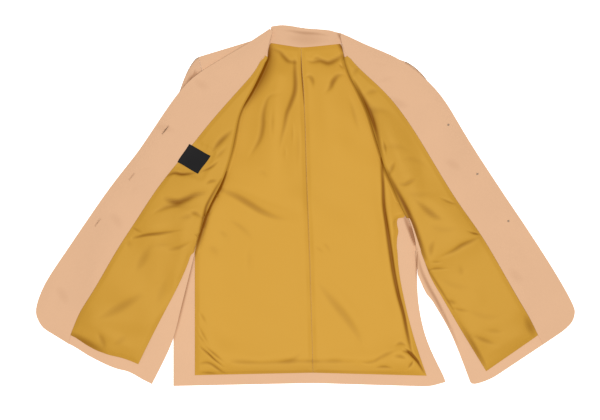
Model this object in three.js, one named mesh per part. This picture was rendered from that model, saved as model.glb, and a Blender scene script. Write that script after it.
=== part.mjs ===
// Wool jacket laid flat on its back, opened out so that its lining shows.
// Millimetres. +X is the wearer's left, +Y points to the collar and +Z up from the surface it lies on.
// The origin is the middle of the jacket's outline, on that surface. "right" and "left" are the wearer's.

import * as THREE from "three";

// ---------- driving sizes ----------
const WOOL = 1.6; // wall of the wool cloth with its interlining
const LINING = 1.0; // wall of the lining
const SEAM_GAP = 0.35; // between pieces that are sewn together
const TURNED_IN = WOOL + 0.1; // what a turned-in edge adds to the wool
const REST_GAP = 1.2; // between the fronts and what they are folded over
const FOLD_RADIUS = 2.7; // of the soft fold where a front turns back on itself
const FOLD_LOFT_REACH = 75; // how far that fold holds the front up
const PILE_STEP = 6; // spacing of the height map of what lies underneath
const DRAPE_SAG = 0.085; // how steeply the cloth falls away beside what holds it up
const DRAPE_ROUNDS = 260;
const DRAPE_STIFFNESS = 2; // steps of the height map over which the cloth can't bend sharply
const ARMHOLE_LOFT = 7; // height of the armhole in its middle, as it lies
const UNDER_LEVEL = 7; // middle of the folded-under front above the surface
const SHOULDER_RISE = 34; // distance over which the front rises from the shoulder seam
const SLEEVE_EDGE = 2 * WOOL + 0.4; // thickness of a sleeve pressed flat at its edges

const BUTTON_RADIUS = 10;
const BUTTON_HEIGHT = 3.6;
const BUTTON_RIM = 1.0;
const BUTTON_SIDES = 20;
const SHANK_RADIUS = 2.6;
const BUTTON_MOUND = 1.8; // how much wider than a button the rise over it is
const BUTTON_CLEARANCE = 0.5;
const LABEL_WIDTH = 47;
const LABEL_HEIGHT = 44;
const LABEL_WALL = 0.6;
const LABEL_CELLS = 4;
const LABEL_PROBE = 3; // it clears what lies within this of each of its points
const LABEL_TURN = THREE.MathUtils.degToRad(-25);

// ---------- sections of the panels ----------
// The back, from the shoulders down. Each rail runs down the jacket: the two edges, the two edges of the
// lining and the seam at the centre of the lining.
const BACK = [
  { rightEdge: [-214, 299], rightLining: [-72, 328], centre: [-10, 318.5],
    leftLining: [68, 326], leftEdge: [197, 290] },
  { rightEdge: [-206, 262], rightLining: [-96, 268], centre: [-8, 270],
    leftLining: [98, 268], leftEdge: [191, 260] },
  { rightEdge: [-202, 232], rightLining: [-120, 238], centre: [-5, 240],
    leftLining: [116, 238], leftEdge: [190, 232] },
  { rightEdge: [-203, 192], rightLining: [-146, 197], centre: [-3, 198],
    leftLining: [136, 197], leftEdge: [191, 192] },
  { rightEdge: [-218, 138], rightLining: [-160, 143], centre: [-1, 144],
    leftLining: [155, 143], leftEdge: [203, 138] },
  { rightEdge: [-250, 98], rightLining: [-170, 101], centre: [0, 102],
    leftLining: [168, 101], leftEdge: [230, 98] },
  { rightEdge: [-260, 34], rightLining: [-190, 38], centre: [2, 38],
    leftLining: [194, 36], leftEdge: [224, 34] },
  { rightEdge: [-264, -14], rightLining: [-217, -10], centre: [4, -8],
    leftLining: [204, -10], leftEdge: [222.5, -14] },
  { rightEdge: [-264, -44], rightLining: [-221, -38], centre: [5, -36],
    leftLining: [186, -36], leftEdge: [222.5, -44] },
  { rightEdge: [-265, -112], rightLining: [-222, -112], centre: [8, -110],
    leftLining: [183, -110], leftEdge: [222, -112] },
  { rightEdge: [-265, -190], rightLining: [-222, -190], centre: [10, -188],
    leftLining: [197, -190], leftEdge: [224, -190] },
  { rightEdge: [-265, -266], rightLining: [-222, -266], centre: [12, -264],
    leftLining: [217, -268], leftEdge: [241, -268] },
  { rightEdge: [-265, -337], rightLining: [-222, -337], centre: [14, -332],
    leftLining: [241, -338], leftEdge: [273, -334] },
  { rightEdge: [-265, -359], rightLining: [-223, -358], centre: [14, -353],
    leftLining: [247, -360], leftEdge: [279, -351] },
];
const BACK_CELLS = { vent: 2, half: 9 };
const BACK_HEM_STATION = 12; // the section at which the lining ends
const UNDERARM_STATION = 5; // the armholes run from the first section to this one
const SLIT_TOP_STATION = 7; // the side seams end here, and the slits begin
const SHOULDER_BOW = 3.5; // the shoulder seams curve up by this in their middle

// The fronts, opened out, from the neck to the hem. Rails: the front edge, the seam of the facing, the far
// edge of the lining, and the fold or, below the slit's top, the slit's edge.
const RIGHT_FRONT = [
  { edge: [-72, 355], seam: [-71.5, 350.5], lining: [-69.5, 344], fold: [-69, 343] },
  { edge: [-122, 321], seam: [-85.5, 302.5], lining: [-80, 299], fold: [-79, 299] },
  { edge: [-184, 285], seam: [-103, 268.5], lining: [-94, 266], fold: [-93, 266] },
  { edge: [-240, 245], seam: [-131, 236], lining: [-112, 230], fold: [-111, 230] },
  { edge: [-292, 173], seam: [-187, 173], lining: [-136, 184], fold: [-135, 184] },
  { edge: [-334, 110], seam: [-231, 118], lining: [-148, 122], fold: [-147, 122] },
  { edge: [-385, 46], seam: [-291, 45], lining: [-170, 54], fold: [-167, 54] },
  { edge: [-432, -20], seam: [-337, -25], lining: [-206, -13], fold: [-201, -11] },
  { edge: [-481, -92], seam: [-379, -89], lining: [-229, -98], fold: [-222, -93] },
  { edge: [-522, -154], seam: [-421, -163], lining: [-256, -160], fold: [-236, -148] },
  { edge: [-540, -203], seam: [-449, -206], lining: [-284, -213], fold: [-252, -212] },
  { edge: [-536, -226], seam: [-462, -234], lining: [-310, -264], fold: [-266, -268] },
  { edge: [-525, -243], seam: [-471, -257], lining: [-335, -315], fold: [-289, -318] },
  { edge: [-508, -254], seam: [-474, -275], lining: [-346, -336], fold: [-308, -355] },
];
const LEFT_FRONT = [
  { edge: [72.5, 345], seam: [72.5, 340.5], lining: [70.5, 333], fold: [70, 332] },
  { edge: [122, 321], seam: [84, 301], lining: [78, 297], fold: [77, 297] },
  { edge: [174, 300], seam: [114, 268], lining: [90, 262], fold: [89, 262] },
  { edge: [223, 268], seam: [148, 237], lining: [107, 229], fold: [106, 229] },
  { edge: [271, 220], seam: [180, 202], lining: [127, 184], fold: [126, 184] },
  { edge: [312, 153], seam: [217, 150], lining: [144, 130], fold: [143, 130] },
  { edge: [353, 88], seam: [255, 87], lining: [165, 70], fold: [162, 70] },
  { edge: [402, 14], seam: [300, 13], lining: [189, 15], fold: [185, 15] },
  { edge: [452, -60], seam: [352, -60], lining: [222, -65], fold: [218, -62] },
  { edge: [500, -135], seam: [395, -134], lining: [244, -131], fold: [225, -129] },
  { edge: [534, -196], seam: [427, -190], lining: [275, -186], fold: [252, -188] },
  { edge: [537, -216], seam: [449, -226], lining: [317, -258], fold: [287, -246] },
  { edge: [530, -234], seam: [464, -257], lining: [360, -329], fold: [319, -326] },
  { edge: [511, -251], seam: [474, -276], lining: [370, -345], fold: [331, -359] },
];
const FRONT_CELLS = { facing: 5, lining: 7, slit: 1, fold: 5, under: 4 };
const LEAST_TILT = 0.6;
const FRONT_HEM_STATION = 12; // the section at which the lining ends
const FOLD_END_STATION = 7.5; // below this section a front isn't folded over itself
const ROWS_PER_STATION = 2;

// Outer limit of the folded-under part of each front, below the underarm, at each section of the front.
const RIGHT_SIDE = [[-257, 46], [-263, -16], [-248, -64]];
const LEFT_SIDE = [[225, 50], [222, 8], [227, -34]];

// The sleeves, from the armhole to the cuff: the over-arm edge, the underarm edge and the height of the
// sleeve's middle. The first section only says how the others bend away from the armhole.
const RIGHT_SLEEVE = [
  { over: [-214, 299], under: [-250, 98], height: ARMHOLE_LOFT },
  { over: [-231, 290], under: [-257, 92], height: 7 },
  { over: [-248, 246], under: [-270, 66], height: 7 },
  { over: [-270, 180], under: [-282, 22], height: 7 },
  { over: [-312, 108], under: [-286, -30], height: 7 },
  { over: [-364, 32], under: [-284, -80], height: 6.8 },
  { over: [-406, -58], under: [-292, -130], height: 6.5 },
  { over: [-424, -146], under: [-302, -180], height: 6.2 },
  { over: [-430, -216], under: [-312, -238], height: 5.6 },
];
const LEFT_SLEEVE = [
  { over: [197, 290], under: [230, 98], height: ARMHOLE_LOFT },
  { over: [213, 285], under: [238, 90], height: 7 },
  { over: [246, 250], under: [250, 64], height: 7 },
  { over: [262, 190], under: [258, 22], height: 7 },
  { over: [292, 112], under: [256, -36], height: 7 },
  { over: [338, 36], under: [258, -88], height: 6.8 },
  { over: [388, -54], under: [276, -132], height: 6.5 },
  { over: [420, -136], under: [302, -176], height: 6.2 },
  { over: [434, -204], under: [322, -236], height: 5.6 },
];
const SLEEVE_ROWS_PER_STATION = 2;
const SLEEVE_ACROSS = 2 * UNDERARM_STATION; // so that its end has the armhole's points
const INWARD_STEP = 0.2; // share of the way to a sleeve's middle that gives the direction inwards

// The collar band at the back of the neck, from the right front to the left front.
const COLLAR = [
  { top: [-65, 359.5], neck: [-70, 329] },
  { top: [-55, 362], neck: [-50, 325.6] },
  { top: [-34, 361], neck: [-30, 322.6] },
  { top: [-4, 355.5], neck: [-8, 319.8] },
  { top: [26, 353.5], neck: [26, 322.7] },
  { top: [50, 351.5], neck: [50, 325.2] },
  { top: [67, 345.5], neck: [68, 327.3] },
];
const COLLAR_ROWS = 3;
const COLLAR_WALL = 2 * WOOL;
const COLLAR_LIFT = 5; // the band stands away from the surface along its upper edge

// The largest folds of the lining: a ridge from one place to another, its width and height.
const BACK_FOLDS = [
  { from: [-70, 262], to: [-82, 90], width: 26, height: 5.0 },
  { from: [-42, 268], to: [-52, 76], width: 24, height: 5.5 },
  { from: [42, 262], to: [60, 120], width: 30, height: 3.5 },
  { from: [-128, 60], to: [-24, 2], width: 34, height: 4.0 },
  { from: [-196, -276], to: [-150, -328], width: 22, height: 4.5 },
  { from: [176, -292], to: [224, -330], width: 24, height: 6.0 },
  { from: [152, 62], to: [168, -60], width: 13, height: 3.5 },
  { from: [-180, -326], to: [200, -326], width: 18, height: 3.5 },
];
const RIGHT_FRONT_FOLDS = [
  { from: [-262, 38], to: [-180, 70], width: 26, height: 5.5 },
  { from: [-318, -36], to: [-222, -22], width: 26, height: 6.0 },
  { from: [-300, -84], to: [-232, -66], width: 24, height: 4.0 },
  { from: [-440, -240], to: [-350, -296], width: 26, height: 4.5 },
];
const LEFT_FRONT_FOLDS = [
  { from: [160, 150], to: [210, 60], width: 30, height: 5.0 },
  { from: [226, 14], to: [290, -30], width: 26, height: 5.5 },
  { from: [258, -86], to: [342, -52], width: 26, height: 6.0 },
  { from: [340, -262], to: [440, -250], width: 28, height: 4.5 },
];
const FOLD_EDGE_REACH = 26; // a fold dies away this near the edge of its panel

const BUTTONS = [[285, 162], [344, 64], [405, -31]];
const LABEL_AT = [-224, 96];

const WOOL_COLOUR = "#e3b793";
const LINING_COLOUR = "#d2a043";
const LABEL_COLOUR = "#15181b";
const BUTTON_COLOUR = "#c9a184";

// ---------- helpers ----------
const smooth = (t) => THREE.MathUtils.smoothstep(t, 0, 1);
const flat = ([x, y], z = 0) => new THREE.Vector3(x, y, z);

// A rail's curve through one place in each section; its parameter counts sections.
function railThrough(places) {
  const curve = new THREE.SplineCurve(places.map(([x, y]) => new THREE.Vector2(x, y)));
  return (station) => curve.getPoint(Math.min(1, station / (places.length - 1)));
}

const railOf = (sections, name) => railThrough(sections.map((section) => section[name]));

// The armhole down to the underarm, then the side seam or the slit's edge: the armhole is one curve that
// the back, the front and the sleeve share.
function sideRail(armhole, below) {
  const upper = railThrough(armhole);
  const lower = railThrough([armhole[armhole.length - 1], ...below]);
  return (station) => (station <= UNDERARM_STATION ? upper(station) : lower(station - UNDERARM_STATION));
}

const armholeOf = (name) => BACK.slice(0, UNDERARM_STATION + 1).map((section) => section[name]);
const backSideOf = (name) => BACK.slice(UNDERARM_STATION + 1).map((section) => section[name]);

// A closed wall between two grids of points. keep(row, column) says which cells there are.
function wallBetween(lower, upper, keep = () => true) {
  const rows = upper.length;
  const columns = upper[0].length;
  const points = [];
  const indexOf = (layer, r, c) => (layer * rows + r) * columns + c;
  for (const layer of [lower, upper]) {
    for (const row of layer) {
      for (const p of row) points.push(p.x, p.y, p.z);
    }
  }
  const faces = [];
  const quad = (a, b, c, d) => faces.push(a, b, c, a, c, d);
  const there = (r, c) => r >= 0 && c >= 0 && r < rows - 1 && c < columns - 1 && keep(r, c);
  const rim = (r0, c0, r1, c1) =>
    quad(indexOf(0, r0, c0), indexOf(0, r1, c1), indexOf(1, r1, c1), indexOf(1, r0, c0));
  for (let r = 0; r < rows - 1; r += 1) {
    for (let c = 0; c < columns - 1; c += 1) {
      if (!there(r, c)) continue;
      quad(indexOf(1, r, c), indexOf(1, r + 1, c), indexOf(1, r + 1, c + 1), indexOf(1, r, c + 1));
      quad(indexOf(0, r, c), indexOf(0, r, c + 1), indexOf(0, r + 1, c + 1), indexOf(0, r + 1, c));
      if (!there(r - 1, c)) rim(r, c + 1, r, c);
      if (!there(r + 1, c)) rim(r + 1, c, r + 1, c + 1);
      if (!there(r, c - 1)) rim(r, c, r + 1, c);
      if (!there(r, c + 1)) rim(r + 1, c + 1, r, c + 1);
    }
  }
  return facingOut(points, faces);
}

function facingOut(points, faces) {
  const at = (i) => new THREE.Vector3(points[3 * i], points[3 * i + 1], points[3 * i + 2]);
  let volume = 0;
  for (let i = 0; i < faces.length; i += 3) {
    volume += at(faces[i]).dot(at(faces[i + 1]).cross(at(faces[i + 2])));
  }
  if (volume < 0) {
    for (let i = 0; i < faces.length; i += 3) [faces[i], faces[i + 1]] = [faces[i + 1], faces[i]];
  }
  const used = [...new Set(faces)];
  const place = new Map(used.map((old, now) => [old, now]));
  const geometry = new THREE.BufferGeometry();
  geometry.setAttribute(
    "position",
    new THREE.Float32BufferAttribute(used.flatMap((i) => points.slice(3 * i, 3 * i + 3)), 3),
  );
  geometry.setIndex(faces.map((i) => place.get(i)));
  return geometry;
}

// Normals of a grid of points, all on the side that faces up in its first cell.
function normalsOf(grid) {
  const last = grid.length - 1;
  const end = grid[0].length - 1;
  const normalAt = (r, c) => {
    const down = grid[Math.min(r + 1, last)][c].clone().sub(grid[Math.max(r - 1, 0)][c]);
    const across = grid[r][Math.min(c + 1, end)].clone().sub(grid[r][Math.max(c - 1, 0)]);
    return down.cross(across).normalize();
  };
  const side = Math.sign(normalAt(last - 1, 1).z);
  return grid.map((row, r) => row.map((_, c) => normalAt(r, c).multiplyScalar(side)));
}

// The grid moved out along its normals by a distance that may change from point to point.
function movedOut(grid, normals, distance) {
  const moved = (p, r, c) => p.clone().addScaledVector(normals[r][c], distance(r, c, p));
  return grid.map((row, r) => row.map((p, c) => moved(p, r, c)));
}

// The grid with new heights.
const raised = (grid, height) =>
  grid.map((row, r) => row.map((p, c) => flat([p.x, p.y], height(r, c, p))));

const part = (grid, rows, columns) =>
  grid.slice(rows[0], rows[1] + 1).map((row) => row.slice(columns[0], columns[1] + 1));

// Two pieces sewn side by side share a line of points, so one is drawn back from it by the seam's gap.
function drawnBack(grid, sides) {
  const towards = (p, inner) => p.clone().addScaledVector(inner.clone().sub(p).normalize(), SEAM_GAP);
  const end = grid[0].length - 1;
  const made = grid.map((row) => row.map((p) => p.clone()));
  grid.forEach((row, r) => {
    if (sides.includes("first")) made[r][0] = towards(row[0], row[1]);
    if (sides.includes("last")) made[r][end] = towards(row[end], row[end - 1]);
  });
  if (sides.includes("top")) made[0] = made[0].map((p, c) => towards(p, made[1][c]));
  return made;
}

// Height of the lining's folds at a place, in the middle of its panel.
function foldHeight(folds, p) {
  return folds.reduce((sum, fold) => {
    const line = new THREE.Line3(flat(fold.from), flat(fold.to));
    const along = line.closestPointToPointParameter(flat([p.x, p.y]), true);
    const away = line.at(along, new THREE.Vector3()).distanceTo(flat([p.x, p.y])) / fold.width;
    return sum + fold.height * Math.exp(-away * away);
  }, 0);
}

// ---------- the pile: heights of what lies under the fronts ----------
const PILE_REACH = { x: 560, y: 390 };
const pile = {
  columns: Math.round((2 * PILE_REACH.x) / PILE_STEP) + 1,
  rows: Math.round((2 * PILE_REACH.y) / PILE_STEP) + 1,
};
pile.heights = new Float64Array(pile.columns * pile.rows);

function coverPile(geometry, clearance) {
  const position = geometry.getAttribute("position");
  const index = geometry.getIndex();
  const corner = [new THREE.Vector3(), new THREE.Vector3(), new THREE.Vector3()];
  const triangle = new THREE.Triangle();
  const weights = new THREE.Vector3();
  for (let i = 0; i < index.count; i += 3) {
    corner.forEach((v, k) => v.fromBufferAttribute(position, index.getX(i + k)));
    const heights = new THREE.Vector3(...corner.map((v) => v.z));
    triangle.set(...corner.map((v) => flat([v.x, v.y])));
    const box = new THREE.Box3().setFromPoints([triangle.a, triangle.b, triangle.c]);
    const first = (low, reach) => Math.ceil((low + reach) / PILE_STEP);
    const last = (high, reach) => Math.floor((high + reach) / PILE_STEP);
    for (let r = first(box.min.y, PILE_REACH.y); r <= last(box.max.y, PILE_REACH.y); r += 1) {
      for (let c = first(box.min.x, PILE_REACH.x); c <= last(box.max.x, PILE_REACH.x); c += 1) {
        const at = flat([c * PILE_STEP - PILE_REACH.x, r * PILE_STEP - PILE_REACH.y]);
        if (!triangle.getBarycoord(at, weights) || Math.min(...weights) < -1e-6) continue;
        const height = weights.dot(heights) + clearance;
        const cell = r * pile.columns + c;
        pile.heights[cell] = Math.max(pile.heights[cell], height);
      }
    }
  }
}

// The pile as a stiff cloth meets it: each place is as high as the highest one near it.
function spreadPile() {
  const reach = DRAPE_STIFFNESS;
  return pile.heights.map((_, i) => {
    let highest = 0;
    for (let dr = -reach; dr <= reach; dr += 1) {
      for (let dc = -reach; dc <= reach; dc += 1) {
        const near = pile.heights[i + dr * pile.columns + dc] || 0;
        if (Math.hypot(dr, dc) <= reach + 0.3) highest = Math.max(highest, near);
      }
    }
    return highest;
  });
}

// A cloth laid over the pile: it touches what is high and falls away to the surface beside it.
function drapeOverPile() {
  const ground = spreadPile();
  let cloth = Float64Array.from(ground);
  for (let round = 0; round < DRAPE_ROUNDS; round += 1) {
    const next = Float64Array.from(cloth);
    for (let r = 1; r < pile.rows - 1; r += 1) {
      for (let c = 1; c < pile.columns - 1; c += 1) {
        const i = r * pile.columns + c;
        const beside = [i - 1, i + 1, i - pile.columns, i + pile.columns];
        const mean = beside.reduce((sum, k) => sum + cloth[k], 0) / 4;
        next[i] = Math.max(ground[i], mean - DRAPE_SAG);
      }
    }
    cloth = next;
  }
  return (x, y) => {
    const u = (x + PILE_REACH.x) / PILE_STEP;
    const v = (y + PILE_REACH.y) / PILE_STEP;
    const c = Math.floor(u);
    const r = Math.floor(v);
    const at = (dr, dc) => cloth[(r + dr) * pile.columns + c + dc];
    const low = THREE.MathUtils.lerp(at(0, 0), at(0, 1), u - c);
    const high = THREE.MathUtils.lerp(at(1, 0), at(1, 1), u - c);
    return THREE.MathUtils.lerp(low, high, v - r);
  };
}

// ---------- the back ----------
const backRails = [
  sideRail(armholeOf("rightEdge"), backSideOf("rightEdge")),
  ...["rightLining", "centre", "leftLining"].map((name) => railOf(BACK, name)),
  sideRail(armholeOf("leftEdge"), backSideOf("leftEdge")),
];
const backCells = [BACK_CELLS.vent, BACK_CELLS.half, BACK_CELLS.half, BACK_CELLS.vent];
const backRows = (BACK.length - 1) * ROWS_PER_STATION;
const backHemRow = BACK_HEM_STATION * ROWS_PER_STATION;
const backColumns = { rightLining: BACK_CELLS.vent };
backColumns.centre = backColumns.rightLining + BACK_CELLS.half;
backColumns.leftLining = backColumns.centre + BACK_CELLS.half;
const slitTopRow = SLIT_TOP_STATION * ROWS_PER_STATION;

function rowBetween(places, cells) {
  return cells.flatMap((count, k) => {
    const last = k === cells.length - 1 ? 1 : 0;
    return Array.from({ length: count + last }, (_, i) => {
      const p = places[k].clone().lerp(places[k + 1], i / count);
      return flat([p.x, p.y]);
    });
  });
}

const backFloor = Array.from({ length: backRows + 1 }, (_, r) => {
  const places = backRails.map((rail) => rail(r / ROWS_PER_STATION));
  return rowBetween(places, backCells);
});
[1, backFloor[0].length - 2].forEach((c) => (backFloor[0][c].y += SHOULDER_BOW));

// The hem and the edges of both slits are turned in, a little further than the lining reaches.
const backIsTurnedIn = (r, c) =>
  r >= backHemRow - 1 ||
  (r >= slitTopRow && (c <= backColumns.rightLining + 1 || c >= backColumns.leftLining - 1));
const backTop = (r, c) => WOOL + (backIsTurnedIn(r, c) ? TURNED_IN : 0);

function backLining(first, last) {
  const rows = [0, backHemRow];
  const reach = (r, c, p) => {
    const row = backFloor[r];
    const edges = [row[backColumns.rightLining], row[backColumns.leftLining]];
    const sides = Math.min(...edges.map((edge) => p.distanceTo(edge)));
    const ends = Math.min(p.distanceTo(backFloor[0][c]), p.distanceTo(backFloor[backHemRow][c]));
    return smooth(sides / FOLD_EDGE_REACH) * smooth(ends / FOLD_EDGE_REACH);
  };
  const base = (r, c, p) => backTop(r, c) + SEAM_GAP + foldHeight(BACK_FOLDS, p) * reach(r, c, p);
  const lower = part(raised(backFloor, base), rows, [first, last]);
  const upper = part(raised(backFloor, (r, c, p) => base(r, c, p) + LINING), rows, [first, last]);
  const sides = first === backColumns.centre ? ["first", "top"] : ["top"];
  return wallBetween(drawnBack(lower, sides), drawnBack(upper, sides));
}

const backShell = wallBetween(backFloor, raised(backFloor, backTop));
const rightBackLining = backLining(backColumns.rightLining, backColumns.centre);
const leftBackLining = backLining(backColumns.centre, backColumns.leftLining);

// ---------- the collar band ----------
function collarBand() {
  const top = railOf(COLLAR, "top");
  const neck = railOf(COLLAR, "neck");
  const columns = (COLLAR.length - 1) * ROWS_PER_STATION;
  const grid = Array.from({ length: COLLAR_ROWS + 1 }, (_, r) =>
    Array.from({ length: columns + 1 }, (_, c) => {
      const station = c / ROWS_PER_STATION;
      const p = top(station).lerp(neck(station), r / COLLAR_ROWS);
      const middle = Math.sin((Math.PI * c) / columns);
      return flat([p.x, p.y], COLLAR_LIFT * middle * (1 - r / COLLAR_ROWS) ** 2);
    }),
  );
  return wallBetween(grid, raised(grid, (r, c, p) => p.z + COLLAR_WALL));
}

// ---------- the sleeves ----------
// Half a section's height above its pressed edges, across the sleeve from -1 to 1.
const arch = (across) => Math.sqrt(Math.max(0, 1 - across * across));

function sleeveTube(sections, armholePlaces) {
  const over = railOf(sections, "over");
  const under = railOf(sections, "under");
  const armhole = railThrough(armholePlaces);
  const heights = railThrough(sections.map((section) => [0, section.height]));
  const rows = (sections.length - 1) * SLEEVE_ROWS_PER_STATION;
  const turns = 2 * SLEEVE_ACROSS;
  const outwards = Math.sign(armholePlaces[0][0]) * SEAM_GAP;
  // Where the sleeve's section is at a share of its width, from the over-arm edge (0) to the underarm.
  const placeAt = (station, share) => {
    const seam = armhole(share * UNDERARM_STATION).add(new THREE.Vector2(outwards, 0));
    return over(station).lerp(under(station), share).lerp(seam, smooth(1 - station / 2));
  };
  const ring = (station, inner) =>
    Array.from({ length: turns }, (_, k) => {
      const share = Math.min(k, turns - k) / SLEEVE_ACROSS;
      const p = placeAt(station, share);
      const top = SLEEVE_EDGE + (heights(station).y - SLEEVE_EDGE) * arch(2 * share - 1);
      const levels = inner ? [top - WOOL, WOOL] : [top, 0];
      if (k % SLEEVE_ACROSS !== 0) return flat([p.x, p.y], levels[k < SLEEVE_ACROSS ? 0 : 1]);
      const next = placeAt(station, THREE.MathUtils.lerp(share, 0.5, INWARD_STEP));
      if (inner) p.add(next.sub(p).setLength(WOOL));
      return flat([p.x, p.y], SLEEVE_EDGE / 2);
    });
  const rings = (inner) =>
    Array.from({ length: rows + 1 }, (_, r) => ring(r / SLEEVE_ROWS_PER_STATION, inner));
  const layers = [rings(false), rings(true)];
  const points = layers.flat(2).flatMap((p) => [p.x, p.y, p.z]);
  const indexOf = (layer, r, k) => (layer * (rows + 1) + r) * turns + (k % turns);
  const faces = [];
  const quad = (a, b, c, d) => faces.push(a, b, c, a, c, d);
  for (let k = 0; k < turns; k += 1) {
    for (let r = 0; r < rows; r += 1) {
      quad(indexOf(0, r, k), indexOf(0, r, k + 1), indexOf(0, r + 1, k + 1), indexOf(0, r + 1, k));
      quad(indexOf(1, r, k), indexOf(1, r + 1, k), indexOf(1, r + 1, k + 1), indexOf(1, r, k + 1));
    }
    quad(indexOf(0, 0, k), indexOf(1, 0, k), indexOf(1, 0, k + 1), indexOf(0, 0, k + 1));
    quad(indexOf(0, rows, k), indexOf(0, rows, k + 1), indexOf(1, rows, k + 1), indexOf(1, rows, k));
  }
  return facingOut(points, faces);
}

// ---------- the buttons ----------
function button(shankTop) {
  const shoulder = BUTTON_HEIGHT - BUTTON_RIM;
  const profile = [
    [0, 0],
    [BUTTON_RADIUS - BUTTON_RIM, 0],
    [BUTTON_RADIUS, BUTTON_RIM],
    [BUTTON_RADIUS, shoulder - BUTTON_RIM],
    [BUTTON_RADIUS - BUTTON_RIM, shoulder],
    [SHANK_RADIUS, shoulder],
    [SHANK_RADIUS, shankTop],
    [0, shankTop],
  ].map(([r, z]) => new THREE.Vector2(r, z));
  return new THREE.LatheGeometry(profile, BUTTON_SIDES).rotateX(Math.PI / 2);
}

// The shank reaches up to the wrong side of the front, where it is sewn.
function sewnButton([x, y], front) {
  const across = [0, -SHANK_RADIUS, SHANK_RADIUS];
  const above = across.flatMap((dx) => across.flatMap((dy) => heightsAt([front], x + dx, y + dy)));
  const lowest = Math.min(...above);
  return button(lowest - SEAM_GAP).translate(x, y, 0);
}

// ---------- the fronts ----------
const frontRows = (RIGHT_FRONT.length - 1) * ROWS_PER_STATION;
const frontHemRow = FRONT_HEM_STATION * ROWS_PER_STATION;
const foldEndRow = FOLD_END_STATION * ROWS_PER_STATION;
const frontColumns = { seam: FRONT_CELLS.facing };
frontColumns.lining = frontColumns.seam + FRONT_CELLS.lining;
frontColumns.edge = frontColumns.lining + FRONT_CELLS.slit;
frontColumns.turned = frontColumns.edge + FRONT_CELLS.fold;
frontColumns.side = frontColumns.turned + FRONT_CELLS.under;

// Middle of the cloth that is folded under, from the fold (0) to the armhole or side seam (1).
function underHeight(station, out, fromShoulder) {
  const slit = TURNED_IN * smooth(station - SLIT_TOP_STATION + 1);
  const seamLevel = 1.5 * WOOL + SEAM_GAP + slit;
  const down = Math.min(1, station / UNDERARM_STATION);
  const armhole = (ARMHOLE_LOFT - SLEEVE_EDGE) * arch(2 * down - 1);
  const inside = (1 - out ** 3) * (UNDER_LEVEL - seamLevel) + out ** 2 * armhole;
  const rise = out < 1 ? smooth(fromShoulder / SHOULDER_RISE) : 1;
  return seamLevel + rise * inside;
}

// The folded-under rows of points, from just inside the fold to the armhole or the side seam.
function underRows(sections, armhole, below) {
  const fold = railOf(sections, "fold");
  const limit = sideRail(armhole, below);
  return Array.from({ length: foldEndRow + 1 }, (_, r) => {
    const station = r / ROWS_PER_STATION;
    const from = fold(station);
    const to = limit(station);
    const inwards = to.clone().sub(from).normalize();
    const start = from.clone().addScaledVector(inwards, FOLD_RADIUS);
    const shoulder = fold(0).distanceTo(from);
    return Array.from({ length: FRONT_CELLS.under + 1 }, (_, k) => {
      const out = k / FRONT_CELLS.under;
      const p = start.clone().lerp(to, out);
      return flat([p.x, p.y], underHeight(station, out, shoulder));
    });
  });
}

function frontGrid(sections, under, drape) {
  const rails = ["edge", "seam", "lining", "fold"].map((name) => railOf(sections, name));
  const cells = [FRONT_CELLS.facing, FRONT_CELLS.lining, FRONT_CELLS.slit];
  return Array.from({ length: frontRows + 1 }, (_, r) => {
    const places = rails.map((rail) => rail(r / ROWS_PER_STATION));
    const [, seamAt, liningAt, edgeAt] = places;
    const foldAt = flat([edgeAt.x, edgeAt.y]);
    const outwards = flat([seamAt.x - edgeAt.x, seamAt.y - edgeAt.y]).normalize();
    if (r <= foldEndRow) [liningAt, edgeAt].forEach((p) => p.addScaledVector(outwards, FOLD_RADIUS));
    const opened = rowBetween(places, cells);
    const end = opened.length - 1;
    opened.forEach((p) => {
      p.z = drape(p.x, p.y) + WOOL / 2;
    });
    const folded = under[Math.min(r, foldEndRow)];
    const below = folded[0];
    const ending = smooth((r - foldEndRow) / (2 * ROWS_PER_STATION));
    const topLevel = THREE.MathUtils.lerp(below.z + 2 * FOLD_RADIUS, opened[end].z, ending);
    opened.forEach((p) => {
      const away = Math.hypot(p.x - foldAt.x, p.y - foldAt.y);
      const held = smooth(1 - away / FOLD_LOFT_REACH);
      p.z = Math.max(p.z, THREE.MathUtils.lerp(p.z, topLevel, held));
    });
    const inwards = folded[FRONT_CELLS.under].clone().sub(folded[0]).setZ(0).normalize();
    const radius = (opened[end].z - below.z) / 2;
    const turned = Array.from({ length: FRONT_CELLS.fold - 1 }, (_, k) => {
      const share = (k + 1) / FRONT_CELLS.fold;
      const angle = Math.PI * share;
      const away = outwards.clone().lerp(inwards, share).normalize();
      const p = foldAt.clone().addScaledVector(away, FOLD_RADIUS * (1 - Math.sin(angle)));
      return p.setZ(below.z + radius * (1 + Math.cos(angle)));
    });
    return [...opened, ...turned, ...folded];
  });
}

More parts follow.
